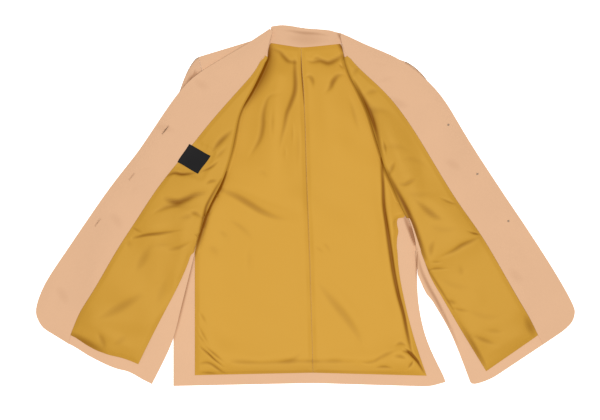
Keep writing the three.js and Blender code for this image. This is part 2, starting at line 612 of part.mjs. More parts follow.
function makeFront(sections, under, folds, drape) {
  const grid = frontGrid(sections, under, drape);
  const normals = normalsOf(grid);
  // Below the fold the panel ends at the slit's edge.
  const opened = normalsOf(part(grid, [0, frontRows], [0, frontColumns.edge]));
  opened.slice(foldEndRow + 1).forEach((row, r) => normals[r + foldEndRow + 1].splice(0, row.length, ...row));
  // Where the panel comes to a point its cells are too thin to give a direction.
  const steep = normals.flatMap((row) => row.slice(0, frontColumns.lining)).filter((n) => n.z < LEAST_TILT);
  steep.forEach((n) => n.set(0, 0, 1));
  const isTurnedIn = (r, c) =>
    c <= frontColumns.edge &&
    ((r >= frontHemRow - 1 && c > frontColumns.seam) || (r > foldEndRow + 1 && c >= frontColumns.lining - 1));
  const extra = (r, c) => (isTurnedIn(r, c) ? TURNED_IN : 0);
  const shell = wallBetween(
    movedOut(grid, normals, () => -WOOL / 2),
    movedOut(grid, normals, (r, c) => WOOL / 2 + extra(r, c)),
    (r, c) => c < frontColumns.edge || r < foldEndRow,
  );
  const onShell = (rows, columns, base, wall, sides, keep) => {
    const pieces = [base, (r, c, p) => base(r, c, p) + wall].map((distance) =>
      drawnBack(part(movedOut(grid, normals, distance), rows, columns), sides),
    );
    return wallBetween(pieces[0], pieces[1], keep);
  };
  const seamBase = () => WOOL / 2 + SEAM_GAP;
  const facing = onShell([0, frontRows], [0, frontColumns.seam], seamBase, WOOL, []);
  const reach = (r, c, p) => {
    const sides = [frontColumns.seam, frontColumns.edge].map((k) => p.distanceTo(grid[r][k]));
    const hem = p.distanceTo(grid[frontHemRow][c]);
    const inside = c <= frontColumns.lining ? 1 : 0;
    return inside * smooth(Math.min(...sides) / FOLD_EDGE_REACH) * smooth(hem / FOLD_EDGE_REACH);
  };
  const base = (r, c, p) => WOOL / 2 + extra(r, c) + SEAM_GAP + foldHeight(folds, p) * reach(r, c, p);
  const liningTopRow = 2;
  const last = frontColumns.turned + 1 - frontColumns.seam;
  const lining = onShell(
    [liningTopRow, frontHemRow],
    [frontColumns.seam, frontColumns.seam + last],
    base,
    LINING,
    ["first"],
    (r, c) => c < frontColumns.lining - frontColumns.seam || r < foldEndRow - liningTopRow,
  );
  return { grid, normals, shell, facing, lining };
}

// ---------- the label ----------
// Heights of the faces of some pieces above and below one another at a place.
function heightsAt(geometries, x, y) {
  const weights = new THREE.Vector3();
  const triangle = new THREE.Triangle();
  const corner = [new THREE.Vector3(), new THREE.Vector3(), new THREE.Vector3()];
  const found = [];
  for (const geometry of geometries) {
    const position = geometry.getAttribute("position");
    const index = geometry.getIndex();
    for (let i = 0; i < index.count; i += 3) {
      corner.forEach((v, k) => v.fromBufferAttribute(position, index.getX(i + k)));
      const heights = new THREE.Vector3(...corner.map((v) => v.z));
      triangle.set(...corner.map((v) => flat([v.x, v.y])));
      const inside = triangle.getBarycoord(flat([x, y]), weights);
      if (inside && Math.min(...weights) >= 0) found.push(weights.dot(heights));
    }
  }
  return found;
}

// The label lies across the seam between the right facing and the lining, on the higher of the two.
function label(geometries) {
  const steps = Array.from({ length: LABEL_CELLS + 1 }, (_, i) => i / LABEL_CELLS - 0.5);
  const near = [-LABEL_PROBE, 0, LABEL_PROBE];
  const middle = new THREE.Vector2(...LABEL_AT);
  const placeAt = (across, down) =>
    new THREE.Vector2(across * LABEL_WIDTH, down * LABEL_HEIGHT).add(middle).rotateAround(middle, LABEL_TURN);
  const lower = steps.map((down) =>
    steps.map((across) => {
      const p = placeAt(across, down);
      const heights = near.flatMap((dx) => near.flatMap((dy) => heightsAt(geometries, p.x + dx, p.y + dy)));
      return flat([p.x, p.y], Math.max(...heights) + SEAM_GAP);
    }),
  );
  return wallBetween(lower, raised(lower, (r, c, p) => p.z + LABEL_WALL));
}

// ---------- putting the jacket together ----------
const wool = new THREE.MeshStandardMaterial({ color: WOOL_COLOUR, roughness: 0.9, metalness: 0 });
const satin = new THREE.MeshStandardMaterial({ color: LINING_COLOUR, roughness: 0.45, metalness: 0 });
const woven = new THREE.MeshStandardMaterial({ color: LABEL_COLOUR, roughness: 0.55, metalness: 0 });
const horn = new THREE.MeshStandardMaterial({ color: BUTTON_COLOUR, roughness: 0.4, metalness: 0 });

const jacket = new THREE.Group();
const add = (name, geometry, material) => {
  const mesh = new THREE.Mesh(geometry, material);
  mesh.name = name;
  jacket.add(mesh);
  return mesh;
};

const collar = collarBand();
const rightSleeve = sleeveTube(RIGHT_SLEEVE, armholeOf("rightEdge"));
const leftSleeve = sleeveTube(LEFT_SLEEVE, armholeOf("leftEdge"));
const rightUnder = underRows(RIGHT_FRONT, armholeOf("rightEdge"), RIGHT_SIDE);
const leftUnder = underRows(LEFT_FRONT, armholeOf("leftEdge"), LEFT_SIDE);
const underTop = (rows) => wallBetween(rows, raised(rows, (r, c, p) => p.z + WOOL / 2));

[backShell, rightBackLining, leftBackLining, collar, rightSleeve, leftSleeve].forEach((geometry) =>
  coverPile(geometry, REST_GAP),
);
[rightUnder, leftUnder].forEach((rows) => coverPile(underTop(rows), REST_GAP));
BUTTONS.forEach(([x, y]) => {
  const mound = button(BUTTON_HEIGHT).scale(BUTTON_MOUND, BUTTON_MOUND, 1);
  coverPile(mound.translate(x, y, 0), BUTTON_CLEARANCE);
});
const drape = drapeOverPile();

const rightFront = makeFront(RIGHT_FRONT, rightUnder, RIGHT_FRONT_FOLDS, drape);
const leftFront = makeFront(LEFT_FRONT, leftUnder, LEFT_FRONT_FOLDS, drape);

add("back", backShell, wool);
add("lining_back_right", rightBackLining, satin);
add("lining_back_left", leftBackLining, satin);
add("collar", collar, wool);
add("sleeve_right", rightSleeve, wool);
add("sleeve_left", leftSleeve, wool);
add("front_right", rightFront.shell, wool);
add("front_left", leftFront.shell, wool);
add("facing_right", rightFront.facing, wool);
add("facing_left", leftFront.facing, wool);
add("lining_front_right", rightFront.lining, satin);
add("lining_front_left", leftFront.lining, satin);
add("label", label([rightFront.facing, rightFront.lining]), woven);
BUTTONS.forEach((place, i) => add(`button_${i + 1}`, sewnButton(place, leftFront.shell), horn));

const outline = new THREE.Box3().setFromObject(jacket);
const middle = outline.getCenter(new THREE.Vector3());
jacket.position.set(-middle.x, -middle.y, -outline.min.z);

export default jacket;
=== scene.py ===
# %% [markdown]
# # A lined wool jacket, laid open with its inside up
# The jacket lies on its back on a table. Both fronts are folded outwards over the sleeves, so the broad
# wool facings, the mustard lining and the bare label show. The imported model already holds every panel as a
# closed wall in its true place. This script only dresses it: each panel is smoothed and creased, gets its
# cloth, and the sewing is added. Everything is in metres, with +Y towards the collar and +Z up from the
# table.

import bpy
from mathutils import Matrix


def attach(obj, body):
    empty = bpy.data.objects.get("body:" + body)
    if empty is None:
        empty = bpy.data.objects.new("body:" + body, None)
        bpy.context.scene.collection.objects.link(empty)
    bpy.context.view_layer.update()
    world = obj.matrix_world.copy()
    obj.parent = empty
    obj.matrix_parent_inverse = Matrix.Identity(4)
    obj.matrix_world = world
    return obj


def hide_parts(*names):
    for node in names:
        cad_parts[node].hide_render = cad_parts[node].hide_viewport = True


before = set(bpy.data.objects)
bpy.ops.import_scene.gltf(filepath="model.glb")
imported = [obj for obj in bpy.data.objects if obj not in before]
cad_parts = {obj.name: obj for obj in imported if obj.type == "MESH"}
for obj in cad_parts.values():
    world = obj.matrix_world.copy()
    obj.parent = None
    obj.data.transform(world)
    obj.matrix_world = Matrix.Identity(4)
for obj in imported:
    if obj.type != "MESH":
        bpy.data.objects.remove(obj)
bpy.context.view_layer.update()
print("panels:", ", ".join(sorted(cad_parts)))

# %% [markdown]
# ## The camera
# The jacket is seen from straight above, as on a copy stand. A long lens far away keeps the edges from
# leaning, and an object this thin needs nothing more. The view is 1.2 m wide, a little more than the
# jacket.

# %% Camera
import bpy
from math import radians

scene = bpy.context.scene
VIEW_WIDTH = 1.2
CAMERA_HEIGHT = 4.0
VIEW_MIDDLE = (-0.011, -0.008)
SENSOR = 36  # millimetres


def linked(name, data):
    """A new object in the scene."""
    made = bpy.data.objects.new(name, data)
    scene.collection.objects.link(made)
    return made


camera_lens = bpy.data.cameras.new("camera")
camera_lens.sensor_width = SENSOR
camera_lens.lens = SENSOR * CAMERA_HEIGHT / VIEW_WIDTH
camera = linked("camera", camera_lens)
camera.location = (*VIEW_MIDDLE, CAMERA_HEIGHT)
scene.camera = camera
print("lens:", round(camera_lens.lens), "mm")

# %% [markdown]
# ## The table and the light
# Cloth shows its folds by soft shade. One broad lamp hangs high above, a little towards the hem, and a weak
# sky fills in from all around, so every fold keeps a soft dark side. The table is plain and pale and glows
# a little, as a light table does, which takes the jacket's shadow off it.

# %% Table, sky and lamp
import bmesh

TABLE_HALF = 6.0
TABLE_DROP = 0.0006  # keeps the table clear of the cloth that rests on it
TABLE_GLOW = 0.45
SKY_STRENGTH = 0.36
LAMP_PLACE = (0.2, -0.4, 6.0)
LAMP_SIZE = 1.8
LAMP_POWER = 385

table_tone = bpy.data.materials.new("pale table")
table_tone.use_nodes = True
table_shader = table_tone.node_tree.nodes["Principled BSDF"]
table_shader.inputs["Base Color"].default_value = (0.93, 0.93, 0.93, 1)
table_shader.inputs["Roughness"].default_value = 0.9
table_shader.inputs["Emission Color"].default_value = (1, 1, 1, 1)
table_shader.inputs["Emission Strength"].default_value = TABLE_GLOW
corners = [(x * TABLE_HALF, y * TABLE_HALF, -TABLE_DROP) for x, y in ((-1, -1), (1, -1), (1, 1), (-1, 1))]
table_mesh = bpy.data.meshes.new("table")
table_mesh.from_pydata(corners, [], [(0, 1, 2, 3)])
table_mesh.materials.append(table_tone)
table = linked("table", table_mesh)

scene.view_settings.view_transform = "Standard"
scene.world = bpy.data.worlds.new("studio")
scene.world.use_nodes = True
sky = scene.world.node_tree.nodes["Background"]
sky.inputs["Color"].default_value = (1, 1, 1, 1)
sky.inputs["Strength"].default_value = SKY_STRENGTH

lamp_light = bpy.data.lights.new("lamp high above", "AREA")
lamp_light.shape = "SQUARE"
lamp_light.size = LAMP_SIZE
lamp_light.energy = LAMP_POWER
lamp = linked("lamp high above", lamp_light)
lamp.location = LAMP_PLACE
lamp.rotation_euler = (-lamp.location).to_track_quat("-Z", "Y").to_euler()
print("lamp:", lamp.name, "at", LAMP_PLACE)

# %% [markdown]
# ## From a solid panel to its upper side
# A panel in the model is a closed wall of triangles. To make cloth of it, the triangles are joined back
# into the squares of its grid, and the faces are grouped wherever they meet without a sharp edge: the two
# largest groups are the cloth's two sides. Only the side that faces up is kept. How far the other side lies
# below each corner is stored in an attribute, so the wall can be put back later at its real thickness.

# %% A panel's upper side
from collections import deque
from mathutils.kdtree import KDTree

SAME_PLACE = 1e-6
SHARP = radians(50)
NEARLY_FLAT = radians(40)
NEARLY_SQUARE = radians(60)


def mesh_of(shape, name):
    """A finished bmesh as a plain mesh."""
    mesh = bpy.data.meshes.new(name)
    shape.to_mesh(mesh)
    shape.free()
    return mesh


def grid_of(node):
    """The node's triangles as squares, with its corners merged."""
    panel = bmesh.new()
    panel.from_mesh(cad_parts[node].data)
    bmesh.ops.remove_doubles(panel, verts=panel.verts, dist=SAME_PLACE)
    bmesh.ops.join_triangles(
        panel, faces=panel.faces, angle_face_threshold=NEARLY_FLAT, angle_shape_threshold=NEARLY_SQUARE
    )
    panel.normal_update()
    return panel


def sides_of(panel):
    """The faces in groups that meet without a sharp edge."""
    left = set(panel.faces)
    sides = []
    for seed in panel.faces:
        if seed not in left:
            continue
        left.discard(seed)
        side = [seed]
        edge_of_side = deque([seed])
        while edge_of_side:
            face = edge_of_side.popleft()
            smooth = [e for e in face.edges if e.calc_face_angle(0) < SHARP]
            for other in {f for e in smooth for f in e.link_faces} & left:
                left.discard(other)
                side.append(other)
                edge_of_side.append(other)
        sides.append(side)
    return sides


def upper_side(node):
    """A mesh of the side that faces up, with the wall's thickness under each corner."""
    panel = grid_of(node)
    walls = sorted(sides_of(panel), key=lambda side: sum(f.calc_area() for f in side))[-2:]
    under, upper = sorted(walls, key=lambda side: sum(max(0, f.normal.z) * f.calc_area() for f in side))
    below = {v for f in under for v in f.verts}
    tree = KDTree(len(below))
    for i, v in enumerate(below):
        tree.insert(v.co, i)
    tree.balance()
    wall = panel.verts.layers.float.new("wall")
    for v in {v for f in upper for v in f.verts}:
        v[wall] = tree.find(v.co)[2]
    keep = set(upper)
    bmesh.ops.delete(panel, geom=[f for f in panel.faces if f not in keep], context="FACES")
    return mesh_of(panel, node)


probe = upper_side("back")
print("the back's upper side:", len(probe.polygons), "faces")
bpy.data.meshes.remove(probe)

# %% [markdown]
# ## Smoothing it
# Cloth has no corners inside a panel. A Subdivision Surface turns the coarse grid into a smooth sheet that
# keeps its outline. `new_from_object` takes the result as a plain mesh, so no modifier is left on the
# piece.

# %% Smooth sheets
def settled(mesh, add_modifiers):
    """The mesh after some modifiers, as a plain mesh."""
    holder = linked(mesh.name, mesh)
    add_modifiers(holder.modifiers)
    shown = holder.evaluated_get(bpy.context.evaluated_depsgraph_get())
    made = bpy.data.meshes.new_from_object(shown)
    bpy.data.objects.remove(holder)
    bpy.data.meshes.remove(mesh)
    return made


def smoothed(mesh, levels):
    def add(modifiers):
        rounding = modifiers.new("round", "SUBSURF")
        rounding.levels = rounding.render_levels = levels
        rounding.boundary_smooth = "PRESERVE_CORNERS"

    return settled(mesh, add)


print("smoothing is ready")

# %% [markdown]
# ## Creases
# A crease in thin cloth is a soft ridge or trough that starts somewhere, is strongest somewhere along its
# way, and dies out. One side is often steeper than the other. Each row of the tables below is one crease:
# the places it runs through in millimetres, how far it reaches on its left and on its right, its height,
# which is below 0 for a trough, the share of its length at which it is strongest, and how fast it dies out
# towards its ends. They are placed one by one, because no random pattern puts the long folds where the way
# the jacket was opened put them.
#
# Little light gets into a trough of satin, and what does has bounced off the same cloth, so it comes back
# deeper in colour. That shade is painted into the cloth's colour: one function turns the troughs' depth into
# a number from 0 to 1, which the cloth's material reads later to darken its colour there. A sheet never
# sinks far into what it lies on, so the deeper troughs in the tables show mostly as this painted shade.

# %% Crease shapes
from collections import namedtuple
import numpy as np

Crease = namedtuple("Crease", "path left right height peak ends", defaults=(0.5, 1.3))
STEPS_BETWEEN_PLACES = 10
LONG = 0.35  # the ends of a crease that keeps its height along most of its length
NARROW_ENDS = 0.5  # the width of a crease's ends, as a share of its widest
FELT_WITHIN = 2.6  # reaches, beyond which a crease is left out of the sum
SHALLOWEST = 0.2  # millimetres, the trough that begins to take its cloth's painted shade
DEEPEST = 1.7  # millimetres, the trough that takes the whole of the painted shade
SLOW_START = 1.2  # above 1, shallow troughs take less of it


def curve_through(places):
    """A smooth curve through some places, in metres, as short straight steps."""
    p = np.array(places, float) / 1000
    p = np.vstack([2 * p[0] - p[1], p, 2 * p[-1] - p[-2]])
    t = np.linspace(0, 1, STEPS_BETWEEN_PLACES, endpoint=False)[:, None]
    pieces = [
        0.5 * (2 * b + (c - a) * t + (2 * a - 5 * b + 4 * c - d) * t**2 + (3 * b - a - 3 * c + d) * t**3)
        for a, b, c, d in zip(p, p[1:], p[2:], p[3:])
    ]
    return np.vstack([*pieces, p[-2]])


def beside(spots, path):
    """Each spot's distance from the path, the share of the path where that is, and if it is on the left."""
    steps = np.diff(path, axis=0)
    lengths = np.hypot(*steps.T)
    before = np.concatenate([[0], np.cumsum(lengths)])
    nearest = np.full(len(spots), np.inf)
    share = np.zeros(len(spots))
    left = np.zeros(len(spots), bool)
    for start, step, length, walked in zip(path, steps, lengths, before):
        off = spots - start
        along = np.clip(off @ step / length**2, 0, 1)
        away = np.hypot(*(off - along[:, None] * step).T)
        nearer = away < nearest
        nearest[nearer] = away[nearer]
        share[nearer] = ((walked + along * length) / before[-1])[nearer]
        left[nearer] = (step[0] * off[:, 1] - step[1] * off[:, 0] > 0)[nearer]
    return nearest, share, left


def crease_heights(spots, creases):
    """How far all the creases raise the cloth at each spot, in metres."""
    total = np.zeros(len(spots))
    for crease in creases:
        path = curve_through(crease.path)
        reach = FELT_WITHIN * max(crease.left, crease.right) / 1000
        near = np.all((spots > path.min(0) - reach) & (spots < path.max(0) + reach), axis=1)
        if not near.any():
            continue
        away, share, left = beside(spots[near], path)
        swell = np.sin(np.pi * np.clip(share, 0, 1) ** (np.log(0.5) / np.log(crease.peak))) ** crease.ends
        width = np.where(left, crease.left, crease.right) / 1000 * (NARROW_ENDS + (1 - NARROW_ENDS) * swell)
        total[near] += crease.height / 1000 * swell * np.exp(-((away / width) ** 2))
    return total


def trough_shade(spots, creases):
    """How much painted shade each spot takes, from 0 to 1, by the depth of the troughs there."""
    troughs = [crease for crease in creases if crease.height < 0]
    depth = -1000 * crease_heights(spots, troughs)
    return np.clip((depth - SHALLOWEST) / (DEEPEST - SHALLOWEST), 0, 1) ** SLOW_START


print("a crease is a row such as", Crease([(0, 0), (50, 10)], 4, 12, 3.0))

# %% [markdown]
# ## The lining's creases
# The back lining hangs in upright folds under the neck and sinks into a trough where each front turns over
# it, and the dark line there is mostly painted shade. Long drag lines run out from the right turn and from
# the centre seam, a ledge lies above the hem, where spare length was left for movement, and there are sharp
# little pulls in both lower corners.

# %% Creases of the back lining
BACK_CREASES = [
    Crease([(-72, 330), (-79, 299), (-93, 266), (-111, 230), (-135, 184), (-143, 150), (-149, 120),
            (-158, 90), (-167, 54), (-182, 22), (-196, -4), (-206, -44)], 8.3, 4.7, -1.62, 0.4, LONG),
    Crease([(-70, 328), (-77, 299), (-89, 266), (-105, 232), (-126, 196)], 22, 7.1, -1.3, 0.4, 0.7),
    Crease([(-160, 72), (-174, 38), (-190, 8), (-200, -18), (-206, -41), (-213, -65), (-221, -91),
            (-226, -116)], 7.5, 4, -1.9, 0.45, LONG),
    Crease([(-9, 302), (-8, 270), (-6, 240), (-3, 200)], 1.4, 1.4, -1.5, 0.45, 0.6),
    Crease([(-10, 318), (-8, 270), (-5, 240), (-3, 198), (-1, 144), (0, 102), (2, 38), (4, -8), (5, -36),
            (8, -110), (10, -188), (12, -264), (14, -332)], 1.1, 1.1, -0.95, 0.4, LONG),
    Crease([(-21, 298), (-21, 270), (-20, 246), (-22, 226), (-30, 203), (-37, 185), (-42, 160), (-48, 135),
            (-53, 102)], 5.6, 5.6, -1.35, 0.35, 0.9),
    Crease([(-44, 229), (-70, 219), (-79, 204), (-84, 182), (-85, 160), (-90, 136), (-101, 115),
            (-116, 93)], 6.2, 6.2, -1.05, 0.55, 0.9),
    Crease([(-66, 202), (-66, 170), (-67, 130)], 4.7, 4.7, -0.48),
    Crease([(-25, 170), (-26, 118)], 3, 3, -0.42),
    Crease([(-40, 122), (-40, 90)], 3, 4.7, -0.36),
    Crease([(-12, 176), (-14, 120), (-14, 60)], 4.7, 4.7, -0.42),
    Crease([(-71, 315), (-53, 309), (-43, 298), (-33, 289), (-14, 287)], 5.2, 5.2, -1.15, 0.6, 0.9),
    Crease([(-4, 293), (13, 288), (30, 290), (46, 286), (62, 293), (76, 304)], 5.6, 6.2, -1.35, 0.6, 0.6),
    Crease([(13, 292), (22, 297), (33, 294)], 4, 4, -0.5),
    Crease([(58, 326), (71, 321), (77, 306)], 4.7, 5.9, -1.62),
    Crease([(-4, 258), (8, 259), (14, 250), (15, 234)], 4.7, 4.7, -0.95),
    Crease([(82, 263), (66, 261), (56, 250), (50, 237), (37, 223)], 5.8, 5.8, -1.3),
    Crease([(85, 228), (92, 203), (101, 170), (113, 140)], 5.9, 5.9, -0.54),
    Crease([(65, 286), (78, 272)], 2.5, 2.5, -0.72),
    Crease([(74, 330), (77, 299), (89, 262), (106, 229), (126, 184), (143, 130), (162, 70), (185, 15),
            (201, -16)], 4.7, 5.9, -1.5, 0.5, LONG),
    Crease([(151, 98), (155, 46), (157, 0), (164, -48), (171, -95), (177, -135), (186, -178), (196, -215),
            (203, -251), (214, -300)], 3.2, 4.2, -1.92, 0.5, LONG),
    Crease([(153, 80), (159, 0), (170, -88), (188, -178), (208, -276)], 9, 9, -0.48, 0.5, LONG),
    Crease([(166, 40), (172, -40), (180, -110), (192, -176), (208, -236), (226, -296)],
            5.9, 5.9, 0.84, 0.5, LONG),
    Crease([(197, -282), (212, -296), (226, -314), (241, -340)], 2.6, 2.6, -1.8, 0.5, 0.7),
    Crease([(192, -288), (206, -293), (216, -302), (229, -314)], 3.2, 3, -1.7, 0.5, 0.7),
    Crease([(172, -303), (188, -300), (206, -306)], 3.2, 3.2, -0.9),
    Crease([(217, -306), (211, -316), (203, -327)], 2.6, 2.6, -1.2),
    Crease([(134, -313), (154, -300), (170, -292), (184, -284)], 5, 5, -0.75),
    Crease([(176, -279), (190, -274), (204, -279)], 3.6, 3.6, -0.9),
    Crease([(138, -324), (156, -321), (176, -324)], 3, 3, -0.8),
    Crease([(152, -300), (176, -292), (200, -286)], 8, 6, 0.6),
    Crease([(106, -313), (124, -313), (138, -310), (154, -299)], 3, 3, -0.66),
    Crease([(-4, -312), (14, -309), (32, -313)], 4, 4, -0.3),
    Crease([(38, -311), (58, -309), (80, -311)], 5, 4, -0.3),
    Crease([(-62, -314), (-36, -310), (-18, -302), (-2, -280)], 5.9, 5.9, -0.48),
    Crease([(-172, -305), (-140, -308), (-88, -312)], 7.1, 7.1, -0.42),
    Crease([(-150, -313), (-90, -314), (-20, -311), (40, -311), (100, -313)], 5, 4, -0.5, 0.5, LONG),
    Crease([(-200, -334), (-60, -332), (20, -331), (120, -333), (210, -335)], 3, 3, -0.6, 0.5, LONG),
    Crease([(-190, -327), (-60, -324), (60, -322), (200, -328)], 9, 9, -0.42, 0.5, LONG),
    Crease([(16, -136), (29, -158), (52, -188), (79, -221), (102, -255), (123, -294)],
            9.4, 9.4, -0.72, 0.5, 0.9),
    Crease([(12, -78), (26, -85), (42, -98)], 3.5, 3.5, -0.45),
    Crease([(28, -66), (42, -80), (56, -98)], 3.5, 3.5, -0.45),
    Crease([(-174, 35), (-158, 28), (-136, 18), (-111, 3), (-88, -11), (-62, -22), (-26, -32)],
            8.3, 7.1, -1.08, 0.4, 0.9),
    Crease([(-168, -20), (-150, -29), (-132, -40), (-116, -54), (-96, -78)], 5.9, 5.9, -0.54),
    Crease([(-180, -44), (-168, -52), (-150, -69)], 5.9, 5.9, -0.48),
    Crease([(-116, -68), (-113, -105), (-114, -148)], 7.1, 7.1, -0.36),
    Crease([(-202, -74), (-182, -88), (-168, -106)], 9.4, 9.4, -0.48),
    Crease([(-102, 70), (-84, 66), (-74, 52)], 5.9, 5.9, -0.42),
    Crease([(-214, -279), (-195, -294), (-181, -307), (-162, -323)], 1.6, 1.6, -1.68, 0.45, 0.7),
    Crease([(-208, -275), (-190, -289), (-174, -302), (-158, -317)], 1.8, 1.8, -1.08),
    Crease([(-220, -318), (-201, -313), (-188, -316), (-171, -328), (-156, -336)], 3, 3, -1.08, 0.5, 0.9),
    Crease([(-216, -209), (-206, -221), (-196, -238)], 2.5, 2.5, -0.66),
    Crease([(-218, -233), (-206, -254), (-192, -280)], 2.5, 2.5, -0.72),
    Crease([(-219, -254), (-208, -266), (-199, -278)], 2.5, 2.5, -0.6),
    Crease([(-220, -335), (-196, -333), (-170, -337)], 3, 3, -0.84),
    Crease([(-55, 262), (-58, 200), (-70, 120)], 12, 12, 0.72),
    Crease([(30, 250), (38, 190), (44, 120)], 16, 16, 0.54),
    Crease([(-176, 52), (-137, 42), (-76, 12), (-22, -8)], 14, 9.4, 0.72, 0.4),
    Crease([(34, -136), (70, -184), (100, -228), (134, -290)], 12, 9.4, 0.6),
    Crease([(-14, 290), (-12, 132), (-13, 12), (-4, -128), (0, -262), (4, -302)], 7.1, 10, 0.3, 0.5, LONG),
    Crease([(-166, -310), (-90, -306), (-30, -302), (4, -304)], 12, 9.4, 0.66),
    Crease([(14, -303), (60, -300), (120, -303), (170, -294)], 12, 9.4, 0.66),
]
print("back lining:", len(BACK_CREASES), "creases")

# %% [markdown]
# The linings of the fronts were pulled sideways when the fronts were thrown open, so their creases run
# across, from the fold towards the facing. Those beside the label are held by it.

# %% Creases of the front linings
RIGHT_FRONT_CREASES = [
    Crease([(-192, 101), (-172, 126), (-156, 142), (-140, 157)], 5.9, 5.9, -1.2),
    Crease([(-184, 92), (-168, 106), (-156, 122)], 4.7, 4.7, -0.6),
    Crease([(-216, 65), (-196, 73), (-182, 82), (-170, 94)], 2.6, 2.6, -1.26),
    Crease([(-284, 54), (-264, 65), (-244, 63), (-212, 66)], 4.2, 3.2, -1.62, 0.5, 0.8),
    Crease([(-268, 52), (-240, 54), (-208, 54)], 10, 10, 0.6),
    Crease([(-202, 41), (-188, 49), (-170, 51)], 3.2, 3.2, -0.96),
    Crease([(-288, 17), (-258, 8), (-238, 13), (-218, 22), (-190, 27)], 7.1, 6.5, -1.5, 0.45, 0.9),
    Crease([(-284, 36), (-240, 34), (-196, 44)], 12, 9, 0.72),
    Crease([(-310, -19), (-292, -9), (-270, -2), (-246, 1)], 4.7, 4.7, -0.78),
    Crease([(-352, -38), (-338, -47), (-322, -56)], 3, 3, -0.84),
    Crease([(-348, -65), (-318, -58), (-291, -55), (-264, -51), (-236, -47)], 3.2, 3, -1.44, 0.35, 0.9),
    Crease([(-334, -44), (-292, -40), (-250, -32)], 12, 9.4, 0.72),
    Crease([(-232, -9), (-216, -16), (-202, -27)], 4.7, 4.7, -0.78),
    Crease([(-284, -89), (-258, -85), (-224, -71)], 4.7, 4.7, -0.78),
    Crease([(-356, -64), (-350, -86)], 7.1, 7.1, -0.54),
    Crease([(-262, 84), (-238, 82), (-214, 88)], 5, 5, -0.6),
    Crease([(-300, -2), (-270, 2), (-240, -2), (-214, 6)], 9, 6, -0.5),
    Crease([(-262, -26), (-236, -22), (-212, -10)], 7, 6, -0.6),
    Crease([(-318, -84), (-286, -78), (-252, -82)], 8, 6, -0.45),
    Crease([(-270, -124), (-286, -168), (-304, -214)], 12, 10, -0.45),
    Crease([(-352, -250), (-368, -268), (-392, -282)], 9, 9, -0.5),
    Crease([(-304, -66), (-322, -104), (-346, -142)], 11, 11, -0.66),
    Crease([(-290, -100), (-302, -140), (-322, -170)], 14, 14, 0.66),
    Crease([(-306, -164), (-348, -190), (-391, -214), (-430, -234)], 11, 11, -0.78),
    Crease([(-400, -190), (-350, -172), (-312, -150)], 16, 12, 0.6),
    Crease([(-480, -252), (-450, -268), (-424, -281), (-390, -302)], 10, 7.1, -1.2, 0.4, 0.7),
    Crease([(-417, -246), (-405, -268), (-397, -292)], 7.1, 7.1, -0.78),
    Crease([(-392, -302), (-362, -311), (-336, -315)], 4.7, 3, -1.02),
    Crease([(-450, -226), (-400, -254), (-340, -290)], 13, 10, 0.66),
    Crease([(-166, 56), (-182, 28), (-196, 2), (-202, -20), (-208, -45), (-215, -70), (-224, -98)],
            3.4, 3.4, -1.5, 0.5, LONG),
]
